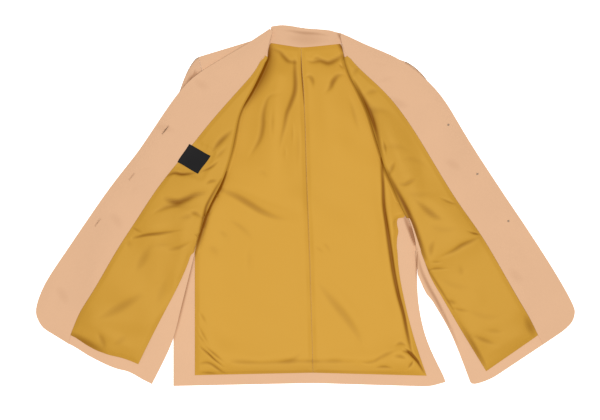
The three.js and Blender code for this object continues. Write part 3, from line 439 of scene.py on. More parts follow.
LEFT_FRONT_CREASES = [
    Crease([(94, 254), (105, 233), (120, 203), (131, 177), (141, 146), (149, 114), (156, 88)],
            5, 4.5, -1.6, 0.45, 0.6),
    Crease([(112, 228), (130, 196), (142, 164), (152, 130)], 9, 9, -0.6),
    Crease([(160, 78), (168, 58), (180, 34), (192, 12), (205, -14), (217, -42), (226, -68), (233, -90),
            (240, -110)], 5.3, 5.9, -1.92, 0.6, LONG),
    Crease([(230, -100), (247, -131), (270, -168), (296, -210)], 2.6, 3, -1.08, 0.4, LONG),
    Crease([(92, 260), (103, 272), (113, 277)], 5.9, 5.9, -0.6),
    Crease([(126, 192), (154, 190), (184, 176)], 10, 8, -0.42, 0.4, 0.9),
    Crease([(152, 116), (184, 118), (220, 104)], 10, 8, -0.45, 0.4, 0.9),
    Crease([(186, 92), (216, 92), (256, 74)], 10, 8, -0.42, 0.4, 0.9),
    Crease([(196, 28), (228, 22), (268, 30)], 10, 8, -0.45, 0.4, 0.9),
    Crease([(240, -36), (276, -48), (318, -40)], 10, 8, -0.45, 0.4, 0.9),
    Crease([(262, -142), (300, -160), (350, -162)], 11, 9, -0.42, 0.4, 0.9),
    Crease([(318, -206), (362, -222), (412, -216)], 11, 9, -0.42, 0.4, 0.9),
    Crease([(114, 221), (132, 228), (152, 231)], 7.1, 7.1, -0.66),
    Crease([(178, 92), (172, 75), (165, 59)], 4.7, 4.7, -0.84),
    Crease([(152, 136), (158, 116), (160, 98)], 3, 3, -0.72),
    Crease([(176, 45), (196, 43), (208, 48), (228, 58)], 4.7, 4.7, -0.84),
    Crease([(180, 66), (205, 62), (232, 74)], 9, 9.4, 0.6),
    Crease([(206, 20), (230, 2), (254, -18), (276, -28)], 7.5, 7.5, -1.05, 0.62, 0.9),
    Crease([(234, 22), (262, 5), (284, -8)], 12, 9.4, 0.66),
    Crease([(264, 19), (284, 9), (309, 1)], 3, 3, -0.9),
    Crease([(312, -45), (330, -53), (352, -58)], 2.2, 2.2, -1.44, 0.65),
    Crease([(356, -59), (330, -70), (312, -78), (293, -90), (260, -106)], 5.3, 4.7, -1.14, 0.45),
    Crease([(258, -62), (250, -84), (250, -108)], 5.9, 5.9, -0.78),
    Crease([(242, -129), (262, -125), (290, -126)], 3, 2.6, -0.96, 0.4),
    Crease([(248, -113), (262, -112), (274, -112)], 2.2, 2.2, -0.66),
    Crease([(308, -116), (313, -144)], 7.1, 7.1, -0.54),
    Crease([(280, -186), (292, -192), (304, -195)], 4.7, 4.7, -0.78),
    Crease([(288, -204), (306, -207), (330, -211)], 3, 3, -0.72),
    Crease([(324, -254), (352, -266), (388, -280)], 5.9, 5.9, -0.84),
    Crease([(352, -250), (376, -250), (402, -253)], 5.9, 5.9, -0.54),
    Crease([(434, -208), (448, -240), (460, -272)], 12, 10, -0.96),
    Crease([(296, -216), (322, -256), (344, -294), (366, -332)], 5.9, 7.1, -1.14, 0.6, 0.7),
    Crease([(320, -150), (340, -176), (352, -206)], 16, 16, 0.6),
    Crease([(353, -304), (400, -276), (440, -252)], 13, 10, 0.66),
]
print("front linings:", len(RIGHT_FRONT_CREASES), "and", len(LEFT_FRONT_CREASES), "creases")

# %% [markdown]
# The wool is firm and faced, so its facings only swell and sink a little. The sleeves are pressed flat under
# the fronts and take a few short creases at the elbow and the shoulder, where any sleeve does; their first
# row is a shade line along the facing's edge, partly a groove and partly painted shade. On the back and the
# fronts the wool shows only in strips, and it never sinks there, so their few rows are only painted shade:
# the shaded turns beside the two slits, the shade at the shoulder seam under the facing, and the dark gap at
# the top of the left slit. The collar's broad trough paints a shade over its band.

# %% Creases of the wool
RIGHT_FACING_CREASES = [
    Crease([(-357, 6), (-338, 36), (-316, 46)], 10, 8, -0.3),
    Crease([(-355, 68), (-325, 74), (-285, 68)], 6, 6, -0.3),
    Crease([(-441, -100), (-456, -150)], 12, 12, 0.7),
    Crease([(-318, 172), (-296, 158), (-270, 152), (-246, 140)], 12, 10, -0.5),
    Crease([(-402, -6), (-376, -30), (-366, -60)], 14, 12, -0.45),
    Crease([(-232, 262), (-205, 240), (-176, 234)], 14, 12, -0.45),
    Crease([(-512, -150), (-486, -176), (-470, -214)], 14, 14, -0.45),
    Crease([(-250, 220), (-200, 232), (-160, 250)], 14, 12, 0.8),
    Crease([(-500, -190), (-470, -200)], 10, 10, 0.7),
]
LEFT_FACING_CREASES = [
    Crease([(129, 246), (160, 252), (192, 263)], 9, 8, -0.36),
    Crease([(116, 296), (150, 282), (186, 284)], 8, 8, -0.3),
    Crease([(205, 214), (240, 224), (262, 216)], 14, 12, 0.7),
    Crease([(352, 30), (372, -10), (380, -50)], 14, 14, 0.7),
    Crease([(440, -80), (470, -120)], 10, 10, 0.8),
    Crease([(150, 226), (184, 204), (222, 196)], 14, 12, -0.5),
    Crease([(262, 92), (292, 84), (320, 62)], 14, 12, -0.45),
    Crease([(398, -108), (420, -140), (450, -158)], 14, 14, -0.45),
]
SLEEVE_CREASES = [
    Crease([(-180, 288), (-206, 269), (-232, 252), (-256, 222)], 3, 3, -1.32, 0.5, LONG),
    Crease([(-214, 278), (-240, 246)], 14, 14, -0.42),
    Crease([(-222, 272), (-219, 260)], 2, 2, -1.08),
    Crease([(-231, 262), (-229, 252)], 2, 2, -1.08),
    Crease([(-240, 262), (-226, 236), (-222, 205)], 6, 8, 1.4),
    Crease([(-262, 214), (-248, 190), (-240, 160)], 6, 7, 1.2),
    Crease([(-330, 80), (-308, 52), (-296, 30)], 7, 7, -0.72),
    Crease([(-352, 40), (-325, 20), (-300, -10)], 6, 8, 1.3),
    Crease([(-404, -130), (-370, -140), (-330, -160)], 8, 8, 1.0),
    Crease([(226, 262), (214, 236), (210, 205)], 6, 8, 1.4),
    Crease([(252, 214), (240, 190), (232, 160)], 6, 7, 1.2),
    Crease([(310, 80), (288, 52), (276, 30)], 7, 7, -0.72),
    Crease([(330, 40), (303, 20), (280, -10)], 6, 8, 1.3),
    Crease([(400, -120), (366, -132), (330, -150)], 8, 8, 1.0),
]
BACK_WOOL_CREASES = [
    Crease([(-112, 324), (-150, 303), (-184, 285), (-207, 269)], 2.4, 2.4, -1.32, 0.5, LONG),
    Crease([(-110, 332), (-160, 312), (-206, 290)], 12, 12, -0.42, 0.5, LONG),
    Crease([(-209, 290), (-205, 270)], 1.6, 1.6, -1.08),
    Crease([(-222, -94), (-235, -148), (-245, -190), (-255, -232), (-268, -282)], 4, 3.6, -1.5, 0.4, LONG),
    Crease([(190, -4), (197, -22), (205, -44), (214, -66), (225, -90)], 9.4, 3, -1.44, 0.5, 0.6),
    Crease([(207, -38), (213, -56), (219, -82)], 4.2, 3, -3.6),
    Crease([(223, -80), (222, -112), (222, -152)], 1.6, 1.6, -1.8, 0.5, 0.5),
]
FRONT_WOOL_CREASES = [
    Crease([(223, -80), (222, -112), (223, -146)], 1.6, 1.6, -1.8, 0.5, 0.5),
    Crease([(224, -92), (230, -124), (244, -156), (265, -194), (290, -244), (310, -290)],
            3.6, 5, -1.3, 0.4, 0.5),
]
COLLAR_CREASES = [
    Crease([(-66, 350), (-34, 350), (-4, 346), (26, 344), (64, 338)], 2.5, 3.5, -0.72),
    Crease([(-62, 354), (-34, 355), (-4, 351), (26, 349), (60, 344)], 3, 3, 0.9),
    Crease([(-60, 338), (0, 333), (66, 333)], 16, 16, -0.66),
    Crease([(60, 348), (69, 339), (72, 326)], 4, 4, -1.32),
]
WOOL_TABLES = (
    RIGHT_FACING_CREASES, LEFT_FACING_CREASES, SLEEVE_CREASES,
    BACK_WOOL_CREASES, FRONT_WOOL_CREASES, COLLAR_CREASES,
)
print("wool:", sum(len(table) for table in WOOL_TABLES), "creases")

# %% [markdown]
# ## Laying the creases into a sheet
# A crease narrower than the grid would come out ragged, so the grid is first split once more beside the
# narrow ones. Some edges are then pulled over a little, each by a row of its own: a path, how far from it
# the pull is felt, and the move, all in millimetres. Then each point moves along its own normal, by the
# creases. Near the panel's seams that fades out, so the seams still meet, and a sheet never sinks far into
# the cloth it lies on. Thin cloth is never quite even either: a few slow waves, always the same ones, are
# added.

# %% Creased sheets
NARROW = 5  # millimetres, the reach of a crease that needs a finer grid
BESIDE_NARROW = 3  # millimetres, how much further the finer grid goes
TURNED_UP = 0.3  # the upward part of the normal of a face that shows from above
LYING = 0.5  # the same for a point that takes its creases in full
UNEVEN_WAVES = 7
WAVE_SPREAD = (0.6, 1.6)  # the waves' lengths, as shares of the length asked for
WAVE_SEED = 11
HELD_WITHIN = 0.007  # half the spacing of the points of what lies on the cloth, and a little more
HELD_FADE = 0.010  # how much further out the hold is no longer felt
Grab = namedtuple("Grab", "path reach move")


def points_of(mesh, field="co"):
    found = np.zeros(len(mesh.vertices) * 3, np.float32)
    if field == "normal":
        mesh.vertex_normals.foreach_get("vector", found)
    else:
        mesh.vertices.foreach_get(field, found)
    return found.reshape(-1, 3).astype(float)


def eased(t):
    t = np.clip(t, 0, 1)
    return t * t * (3 - 2 * t)


def finer_beside(mesh, creases):
    """Splits the faces beside narrow creases once more."""
    narrow = [c for c in creases if min(c.left, c.right) <= NARROW]
    sheet = bmesh.new()
    sheet.from_mesh(mesh)
    sheet.faces.ensure_lookup_table()
    middles = np.array([f.calc_center_median()[:2] for f in sheet.faces])
    turned_up = np.array([f.normal.z > TURNED_UP for f in sheet.faces])
    chosen = np.zeros(len(middles), bool)
    for crease in narrow:
        away, _, _ = beside(middles, curve_through(crease.path))
        widest = min(max(crease.left, crease.right), NARROW)
        chosen |= away < (widest + BESIDE_NARROW) / 1000
    faces = [sheet.faces[i] for i in np.flatnonzero(chosen & turned_up)]
    edges = list({e for f in faces for e in f.edges})
    bmesh.ops.subdivide_edges(sheet, edges=edges, cuts=1, use_grid_fill=True)
    sheet.to_mesh(mesh)
    sheet.free()
    return mesh


def slow_waves(spots, length, seed):
    """An even mix of a few waves, from -1 to 1."""
    chance = np.random.default_rng(seed)
    total = np.zeros(len(spots))
    for _ in range(UNEVEN_WAVES):
        heading, start = chance.uniform(0, 2 * np.pi, 2)
        waves = 2 * np.pi / (length * chance.uniform(*WAVE_SPREAD))
        total += np.sin(waves * (spots @ (np.cos(heading), np.sin(heading))) + start)
    return total / UNEVEN_WAVES


def from_edges(mesh):
    """Each point's distance from the nearest edge of its sheet."""
    count = np.zeros(len(mesh.edges), int)
    edge_of_loop = np.zeros(len(mesh.loops), np.int32)
    mesh.loops.foreach_get("edge_index", edge_of_loop)
    np.add.at(count, edge_of_loop, 1)
    ends = np.zeros(len(mesh.edges) * 2, np.int32)
    mesh.edges.foreach_get("vertices", ends)
    outline = np.unique(ends.reshape(-1, 2)[count == 1])
    points = points_of(mesh)
    tree = KDTree(len(outline))
    for i in outline:
        tree.insert(points[i], int(i))
    tree.balance()
    return np.array([tree.find(p)[2] for p in points])


def beside_node(spots, node):
    """0 on the spots that a node lies on, rising to 1 a little way beside it."""
    over = points_of(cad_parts[node].data)
    tree = KDTree(len(over))
    for i, place in enumerate(over):
        tree.insert((*place[:2], 0), i)
    tree.balance()
    away = np.array([tree.find((*spot, 0))[2] for spot in spots])
    return eased((away - HELD_WITHIN) / HELD_FADE)


def moved(mesh, points):
    """The mesh with its points at new places."""
    mesh.vertices.foreach_set("co", points.astype(np.float32).ravel())
    mesh.update()
    return mesh


def grabbed(mesh, grabs):
    """Pulls the points near each grab's path over by its move, less and less towards its reach."""
    points = points_of(mesh)
    for grab in grabs:
        away, _, _ = beside(points[:, :2], curve_through(grab.path))
        points += eased(1 - 1000 * away / grab.reach)[:, None] * np.array(grab.move) / 1000
    return moved(mesh, points)


def creased(mesh, creases, lift=0, uneven=0, fade=0.006, lowest=0, wave=0.09, held_by=None):
    """Raises and sinks the points of a sheet by its creases, its slow waves and an even lift, in metres."""
    points, normals = points_of(mesh), points_of(mesh, "normal")
    spots = points[:, :2]
    rise = lift + crease_heights(spots, creases) + uneven * slow_waves(spots, wave, WAVE_SEED)
    rise *= eased(from_edges(mesh) / fade) * eased(normals[:, 2] / LYING)
    if held_by:
        rise *= beside_node(spots, held_by)
    return moved(mesh, points + normals * np.maximum(rise, lowest)[:, None])


print("creasing is ready")

# %% [markdown]
# ## Giving a sheet its wall
# The sheet gets a second side at the stored thickness below it, and a rim between the two, so the piece is
# closed as real cloth is. Nothing goes below the table. A small bevel rounds the rim, and a UV map lays the
# cloth's grain along the panel: threads run along the front edges and lean with them.

# %% Walls and grain
RIM_ROUNDING = 0.00035
RIM_ANGLE = radians(60)


def with_wall(mesh, thinnest=None):
    """A closed mesh: the sheet, its lower side and the rim. thinnest replaces the stored thickness."""
    points, normals = points_of(mesh), points_of(mesh, "normal")
    wall = np.zeros(len(points), np.float32)
    mesh.attributes["wall"].data.foreach_get("value", wall)
    if thinnest is not None:
        wall[:] = thinnest
    below = points - normals * wall[:, None]
    below[:, 2] = np.maximum(below[:, 2], 0)
    upper = [tuple(p.vertices) for p in mesh.polygons]
    shift = len(points)
    ways = {(f[i], f[(i + 1) % len(f)]) for f in upper for i in range(len(f))}
    rim = [(b, a, a + shift, b + shift) for a, b in ways if (b, a) not in ways]
    lower = [tuple(i + shift for i in reversed(f)) for f in upper]
    made = bpy.data.meshes.new(mesh.name)
    made.from_pydata(np.vstack([points, below]).tolist(), [], upper + lower + rim)
    bpy.data.meshes.remove(mesh)
    return made


def rounded_rim(mesh):
    def add(modifiers):
        bevel = modifiers.new("rim", "BEVEL")
        bevel.width = RIM_ROUNDING
        bevel.segments = 2
        bevel.limit_method = "ANGLE"
        bevel.angle_limit = RIM_ANGLE

    return settled(mesh, add)


def lay_grain(mesh, lean):
    """UV in metres, with V along the threads, which lean by this many degrees from straight down."""
    spots = points_of(mesh)[:, :2]
    corners = np.zeros(len(mesh.loops), np.int32)
    mesh.loops.foreach_get("vertex_index", corners)
    turn = radians(lean)
    across = spots @ (np.cos(turn), np.sin(turn))
    along = spots @ (-np.sin(turn), np.cos(turn))
    grain = mesh.uv_layers.new(name="grain")
    grain.data.foreach_set("uv", np.stack([across, along], 1)[corners].astype(np.float32).ravel())


print("walls are ready")

# %% [markdown]
# ## Shared effects of the cloths
# Two effects are used by several cloths, so each is a node group with named inputs. The first is the relief
# of the threads, which goes from a plain weave to the slanted ribs of a twill. The second is the uneven
# tone that dye, nap and handling give any cloth. Both read the grain map, so they follow each panel.

# %% Node groups for threads and tone
def node_in(tree, kind, inputs=None, **settings):
    """Adds a node of any kind with its settings, and joins or fills its inputs."""
    made = tree.nodes.new(kind)
    for name, value in settings.items():
        setattr(made, name, value)
    for socket, value in (inputs or {}).items():
        if isinstance(value, bpy.types.NodeSocket):
            tree.links.new(value, made.inputs[socket])
        else:
            made.inputs[socket].default_value = value
    return made


def put(tree, kind, inputs=None, **settings):
    return node_in(tree, "ShaderNode" + kind, inputs, **settings)


def sum_up(tree, operation, first, second=0.0):
    return put(tree, "Math", {0: first, 1: second}, operation=operation).outputs[0]


def new_group(name, inputs, outputs):
    group = bpy.data.node_groups.new(name, "ShaderNodeTree")
    for label, kind, value in inputs:
        socket = group.interface.new_socket(name=label, in_out="INPUT", socket_type="NodeSocket" + kind)
        if value is not None:
            socket.default_value = value
    for label, kind in outputs:
        group.interface.new_socket(name=label, in_out="OUTPUT", socket_type="NodeSocket" + kind)
    return group, group.nodes.new("NodeGroupInput").outputs, group.nodes.new("NodeGroupOutput").inputs


SLUB_STRETCH = 9.0  # how many times finer the slubs are across the threads than along them
SLUB_SHARE = 0.4


def make_threads():
    group, given, out = new_group(
        "woven threads",
        [("Grain", "Vector", None), ("Threads per metre", "Float", 2000.0), ("Twill", "Float", 0.0)],
        [("Height", "Float")],
    )
    part = put(group, "SeparateXYZ", {0: given["Grain"]}).outputs
    turns = sum_up(group, "MULTIPLY", given["Threads per metre"], 2 * np.pi)
    across, along = (sum_up(group, "MULTIPLY", part[k], turns) for k in (0, 1))
    plain = sum_up(group, "MULTIPLY", sum_up(group, "SINE", across), sum_up(group, "SINE", along))
    ribs = sum_up(group, "SINE", sum_up(group, "ADD", sum_up(group, "MULTIPLY", across, 0.5), along))
    mixed = put(group, "Mix", {0: given["Twill"], 2: plain, 3: ribs}, data_type="FLOAT").outputs[0]
    group.links.new(sum_up(group, "MULTIPLY_ADD", mixed, 0.5), out["Height"])
    return group


def make_tone():
    group, given, out = new_group(
        "uneven tone",
        [("Grain", "Vector", None), ("Cloud size", "Float", 0.08), ("Slub length", "Float", 0.02)],
        [("Factor", "Float")],
    )
    cloud_scale = sum_up(group, "DIVIDE", 1.0, given["Cloud size"])
    clouds = put(group, "TexNoise", {"Vector": given["Grain"], "Scale": cloud_scale})
    stretch = put(group, "CombineXYZ", {0: SLUB_STRETCH, 1: 1.0, 2: 1.0}).outputs[0]
    drawn = put(group, "VectorMath", {0: given["Grain"], 1: stretch}, operation="MULTIPLY").outputs[0]
    slub_scale = sum_up(group, "DIVIDE", 1.0, given["Slub length"])
    slubs = put(group, "TexNoise", {"Vector": drawn, "Scale": slub_scale})
    share = put(group, "Mix", {0: SLUB_SHARE, 2: clouds.outputs[0], 3: slubs.outputs[0]}, data_type="FLOAT")
    group.links.new(share.outputs[0], out["Factor"])
    return group


threads_group, tone_group = make_threads(), make_tone()
print("groups:", threads_group.name, "and", tone_group.name)

# %% [markdown]
# ## The cloths
# Every cloth here is a Principled shader with the same parts: two tones mixed by the uneven tone, a painted
# shade that darkens its colour in its troughs, the relief of its threads as a Bump, and its own shine. The
# wool is a firm, matt twill with a short nap. The lining is a satin: long floating threads reflect together,
# so its gloss is drawn out along them. That is what the anisotropy with a tangent along the grain does.

# %% Cloth materials
Weave = namedtuple("Weave", "threads twill relief roughness cloud slub shine")
NAP_SHARE = 0.35
NAP_FINENESS = 0.6  # as a share of the number of threads
BUMP_STRENGTH = 0.6
ROUGHNESS_STRAY = 0.04


def woven_cloth(name, dark, light, deep, weave):
    """A cloth's material. The weave's shine holds the values that stay on the shader's own sockets."""
    made = bpy.data.materials.new(name)
    made.use_nodes = True
    tree = made.node_tree
    shader = tree.nodes["Principled BSDF"]
    grain = put(tree, "UVMap", uv_map="grain").outputs[0]
    tone = put(tree, "Group", node_tree=tone_group)
    woven = put(tree, "Group", node_tree=threads_group)
    for group in (tone, woven):
        tree.links.new(grain, group.inputs["Grain"])
    tone.inputs["Cloud size"].default_value = weave.cloud
    tone.inputs["Slub length"].default_value = weave.slub
    woven.inputs["Threads per metre"].default_value = weave.threads
    woven.inputs["Twill"].default_value = weave.twill
    uneven = {0: tone.outputs[0], 6: (*dark, 1), 7: (*light, 1)}
    colour = put(tree, "Mix", uneven, data_type="RGBA", clamp_factor=True)
    # painted shade: the colour is darkened towards the deep tone where the troughs are deep
    painted_shade = put(tree, "Attribute", attribute_name="painted_shade").outputs["Fac"]
    shade_mix = {0: painted_shade, 6: colour.outputs[2], 7: (*deep, 1)}
    shaded_colour = put(tree, "Mix", shade_mix, data_type="RGBA", blend_type="MULTIPLY")
    tree.links.new(shaded_colour.outputs[2], shader.inputs["Base Color"])
    nap_scale = weave.threads * NAP_FINENESS
    nap = put(tree, "TexNoise", {"Vector": grain, "Scale": nap_scale, "Detail": 1.0}).outputs[0]
    height = put(tree, "Mix", {0: NAP_SHARE, 2: woven.outputs[0], 3: nap}, data_type="FLOAT").outputs[0]
    bump = put(tree, "Bump", {"Height": height, "Distance": weave.relief, "Strength": BUMP_STRENGTH})
    tree.links.new(bump.outputs[0], shader.inputs["Normal"])
    smoothest = weave.roughness - ROUGHNESS_STRAY
    roughest = weave.roughness + ROUGHNESS_STRAY
    matt = put(tree, "MapRange", {0: tone.outputs[0], 3: smoothest, 4: roughest})
    tree.links.new(matt.outputs[0], shader.inputs["Roughness"])
    if weave.shine.get("Anisotropic"):
        tangent = put(tree, "Tangent", direction_type="UV_MAP", uv_map="grain").outputs[0]
        tree.links.new(tangent, shader.inputs["Tangent"])
    for socket, value in weave.shine.items():
        shader.inputs[socket].default_value = value
    return made


def tones(colour, darkest, lightest, share=1.0):
    """The dark and the light tone of a cloth, as shares of its colour."""
    return [tuple(share * end * c for c in colour) for end in (darkest, lightest)]


WOOL_TONE = (0.580, 0.350, 0.208)
# The deep tones below are painted shade: what each cloth's colour is multiplied by in its deepest troughs.
WOOL_SHADE = (0.50, 0.38, 0.30)  # what the tone is multiplied by in the deepest troughs
SHADE_SHARE = 0.95  # painted shade: a darker copy of the wool for the collar and the sleeves, which lie in shade
FACING_SHARE = 0.965
LINING_TONE = (0.442, 0.226, 0.028)
LINING_SHADE = (0.36, 0.20, 0.0)
LABEL_TONES = ((0.0070, 0.0066, 0.0072), (0.0110, 0.0104, 0.0108))
WOOL_WEAVE = Weave(
    threads=1800.0, twill=0.75, relief=0.00012, roughness=0.86, cloud=0.09, slub=0.012,
    shine={"Sheen Weight": 0.12, "Sheen Roughness": 0.45, "Specular IOR Level": 0.25},
)
SATIN_WEAVE = Weave(
    threads=3200.0, twill=0.3, relief=0.00003, roughness=0.46, cloud=0.12, slub=0.03,
    shine={"Specular IOR Level": 0.2, "Specular Tint": (1.0, 0.72, 0.24, 1), "Anisotropic": 0.35},
)
LABEL_WEAVE = Weave(
    threads=2600.0, twill=0.1, relief=0.00004, roughness=0.66, cloud=0.02, slub=0.006,
    shine={"Specular IOR Level": 0.08},
)
wool, wool_in_shade, wool_facing = (
    woven_cloth(name, *tones(WOOL_TONE, 0.935, 1.065, share), WOOL_SHADE, WOOL_WEAVE)
    for name, share in (
        ("peach wool twill", 1.0),
        ("peach wool twill, painted shade", SHADE_SHARE),
        ("peach wool twill, facings", FACING_SHARE),
    )
)
lining_back = woven_cloth("mustard satin", *tones(LINING_TONE, 0.96, 1.04), LINING_SHADE, SATIN_WEAVE)
# painted shade: the linings of the turned fronts are a darker copy of the same satin, standing in for the
# weaker sheen their turned threads give
lining_front = woven_cloth(
    "mustard satin on the turn", *tones(LINING_TONE, 0.91, 0.98), LINING_SHADE, SATIN_WEAVE
)
label_cloth = woven_cloth("black label satin", *LABEL_TONES, WOOL_SHADE, LABEL_WEAVE)
print("cloths:", wool.name, "/", lining_back.name, "/", lining_front.name, "/", label_cloth.name)

# %% [markdown]
# ## Cutting and laying the panels
# One function takes a panel through all the steps: upper side, smoothing, creases, wall, rim and grain.
# Each new piece replaces its CAD solid, which stays in the model only for contact. The linings get a
# thinner wall than their solids, since real satin is far thinner than what a solid can be. The grabs draw
# the edges to where the cloth really lies: the back lining rises into the turns of both fronts, the edges
# of the slits part, and the neck's corners are eased over.

# %% Panels
SATIN_WALL = 0.0006
SINK = -0.0005  # the lowest a trough may press the lining into what it lies on
SATIN_LAYING = {"thin": SATIN_WALL, "lift": 0.0012, "uneven": 0.0009, "fade": 0.010, "lowest": SINK}
FRONT_LEAN = 36  # degrees, how far the grain of the turned fronts leans outwards
LABEL_LEAN = -28  # degrees
BACK_GRABS = [
    Grab([(-80, 292), (-93, 263), (-111, 228), (-135, 184), (-147, 122), (-167, 54), (-178, 30)],
         9, (0, 0, 6)),
    Grab([(-184, 18), (-197, -8)], 9, (0, 0, 4)),
    Grab([(-201, -18), (-212, -50), (-221, -90)], 9, (0, 0, 2.5)),
    Grab([(79, 290), (91, 261), (108, 228), (128, 183), (145, 129), (164, 70), (187, 15)], 9, (0, 0, 6)),
    Grab([(189, -34), (186, -38)], 15, (-6, 8, 0)),
    Grab([(184, -66), (184, -80)], 16, (-1.5, 0, 0)),
]
FRONT_GRABS = [
    Grab([(-222, -93), (-236, -148)], 30, (0, 0, -2.2)),
    Grab([(-252, -212), (-289, -318)], 20, (0, 0, -0.8)),
    Grab([(224, -98), (228, -134)], 14, (-3.5, 0, 0)),
    Grab([(232, -148), (244, -172)], 24, (-4.5, 0, 0)),
    Grab([(-86, 303), (-84, 298)], 14, (4, -1.5, 0)),
    Grab([(-418, -290), (-396, -318)], 52, (-2, -4.5, 0)),
    Grab([(-354, -333), (-346, -338)], 24, (0.5, 1.5, 0)),
]
LINING_GRABS = [
    Grab([(-208, -22), (-219, -62), (-227, -92)], 8, (6, 1, 0)),
    Grab([(-436, -272), (-398, -296)], 36, (0, -3, 0)),
]
FACING_GRABS = [
    Grab([(-71.5, 350), (-78, 325), (-86, 303)], 12, (4, -1.5, 0.3)),
    Grab([(72.5, 340), (77, 322), (84, 301)], 12, (-3.5, -1, 0.3)),
]
COLLAR_GRABS = [
    Grab([(-70, 329), (-50, 325), (-30, 322), (-8, 320), (26, 322.5), (50, 325), (68, 327)],
            10, (0, -2.2, 0.9)),
    Grab([(-65, 360), (-70, 329)], 9, (-5, 0, 0)),
    Grab([(67, 345), (68, 327)], 9, (5, 0, 0)),
]
pieces = {}


def finished(name, mesh, cloth, lean=0, creases=()):
    lay_grain(mesh, lean)
    # painted shade from the troughs' depth, which the cloth's material reads
    painted_shade = mesh.attributes.new("painted_shade", "FLOAT", "POINT")
    painted_shade.data.foreach_set("value", trough_shade(points_of(mesh)[:, :2], creases).astype(np.float32))
    mesh.materials.clear()
    mesh.materials.append(cloth)
    mesh.shade_smooth()
    piece = linked(name, mesh)
    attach(piece, "root")
    pieces[name] = piece
    mesh.calc_loop_triangles()
    print(f"{name}: {len(mesh.loop_triangles)} triangles")
    return piece


def panel(node, name, cloth, slot, lean=0, levels=3, creases=(), grabs=(), thin=None, **laying):
    """Makes the dressed piece that replaces a node. laying is what `creased` takes."""
    sheet = smoothed(upper_side(node), levels)
    if any(min(c.left, c.right) <= NARROW for c in creases):
        sheet = finer_beside(sheet, creases)
    sheet = creased(grabbed(sheet, grabs), creases, **laying)
    piece = finished(name, rounded_rim(with_wall(sheet, thin)), cloth, lean, creases)
    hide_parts(node)
    return piece


panel("back", "back_wool", wool, "wool", levels=2, creases=BACK_WOOL_CREASES)
for side in ("right", "left"):
    panel(
        f"lining_back_{side}", f"back_lining_{side}", lining_back, "lining",
        creases=BACK_CREASES, grabs=BACK_GRABS, **SATIN_LAYING,
    )
panel(
    "collar", "collar_band", wool_in_shade, "wool", lean=90, creases=COLLAR_CREASES, grabs=COLLAR_GRABS,
    lift=0.0003, uneven=0.0004, fade=0.008,
)

# %% [markdown]
# The fronts are made in the same way. Their outer shells show only as strips along the hem and the slits,
# so they are smoothed less. The grain leans outwards on both, as they were turned when the jacket was
# opened.

# %% Fronts, facings and their linings
for side, lean, facing_creases, lining_creases, held in (
    ("right", -FRONT_LEAN, RIGHT_FACING_CREASES, RIGHT_FRONT_CREASES, "label"),
    ("left", FRONT_LEAN, LEFT_FACING_CREASES, LEFT_FRONT_CREASES, None),
):
    panel(
        f"front_{side}", f"front_wool_{side}", wool, "wool", lean, levels=2, creases=FRONT_WOOL_CREASES,
        grabs=FRONT_GRABS,
    )
    panel(
        f"facing_{side}", f"front_facing_{side}", wool_facing, "wool", lean, creases=facing_creases,
        grabs=FACING_GRABS, lift=0.0008, uneven=0.0011, fade=0.02, held_by=held,
    )
    panel(
        f"lining_front_{side}", f"front_lining_{side}", lining_front, "lining", lean, creases=lining_creases,
        grabs=FRONT_GRABS + LINING_GRABS, held_by=held, **SATIN_LAYING,
    )

# %% [markdown]
# ## The sleeves
# A sleeve is a tube, so it has no single upper side. The whole closed wall is smoothed instead, with its
# cut ends kept sharp by creased edges, and then bent by its creases in the same way.

# %% Sleeves
SLEEVE_FOOT = 0.003  # up to this height the tube rests on the table and takes no creases


def sleeve(side):
    tube = grid_of(f"sleeve_{side}")
    hard = tube.edges.layers.float.new("crease_edge")
    for edge in tube.edges:
        edge[hard] = 1.0 if edge.calc_face_angle(0) > RIM_ANGLE else 0.0
    mesh = smoothed(mesh_of(tube, f"sleeve_{side}"), 2)
    points = points_of(mesh)
    freed = eased((points[:, 2] - SLEEVE_FOOT) / SLEEVE_FOOT)
    points[:, 2] += crease_heights(points[:, :2], SLEEVE_CREASES) * freed
    moved(mesh, points)
    lean = FRONT_LEAN * (-1 if side == "right" else 1)
    piece = finished(f"sleeve_wool_{side}", mesh, wool_in_shade, lean, SLEEVE_CREASES)
    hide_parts(f"sleeve_{side}")


sleeve("right")
sleeve("left")

# %% [markdown]
# ## The label
# A small woven tab, black and bare, folded under at its edges and stitched down all round. It lies across
# the seam between the facing and the lining.

# %% Label
LABEL_GRABS = [
    Grab([(-235, 124), (-234, 125)], 47, (3, -1, 0)),
    Grab([(-254, 84), (-253, 85)], 47, (-2, 2.5, 0)),
    Grab([(-193, 106), (-192, 106)], 47, (3.5, -5, 0)),
    Grab([(-212, 65), (-211, 66)], 47, (-3, -1, 0)),
]
panel(
    "label", "bare_label", label_cloth, "label", lean=LABEL_LEAN, grabs=LABEL_GRABS,
    uneven=0.0003, fade=0.004, wave=0.03,
)

# %% [markdown]
# ## Sewing
# Every row of stitches follows a line, so one Geometry Nodes tree makes them all. It walks along a line in
# even steps and lays one short thread at each. Its named inputs are the spacing, the length and thickness
# of a stitch, the angle at which it crosses the line, and how uneven a hand or a machine leaves it. The
# tree ends by realizing the instances and giving them the thread's material.

# %% A tree for stitches
from mathutils import Vector
from mathutils.bvhtree import BVHTree

STITCH_SEED = 5


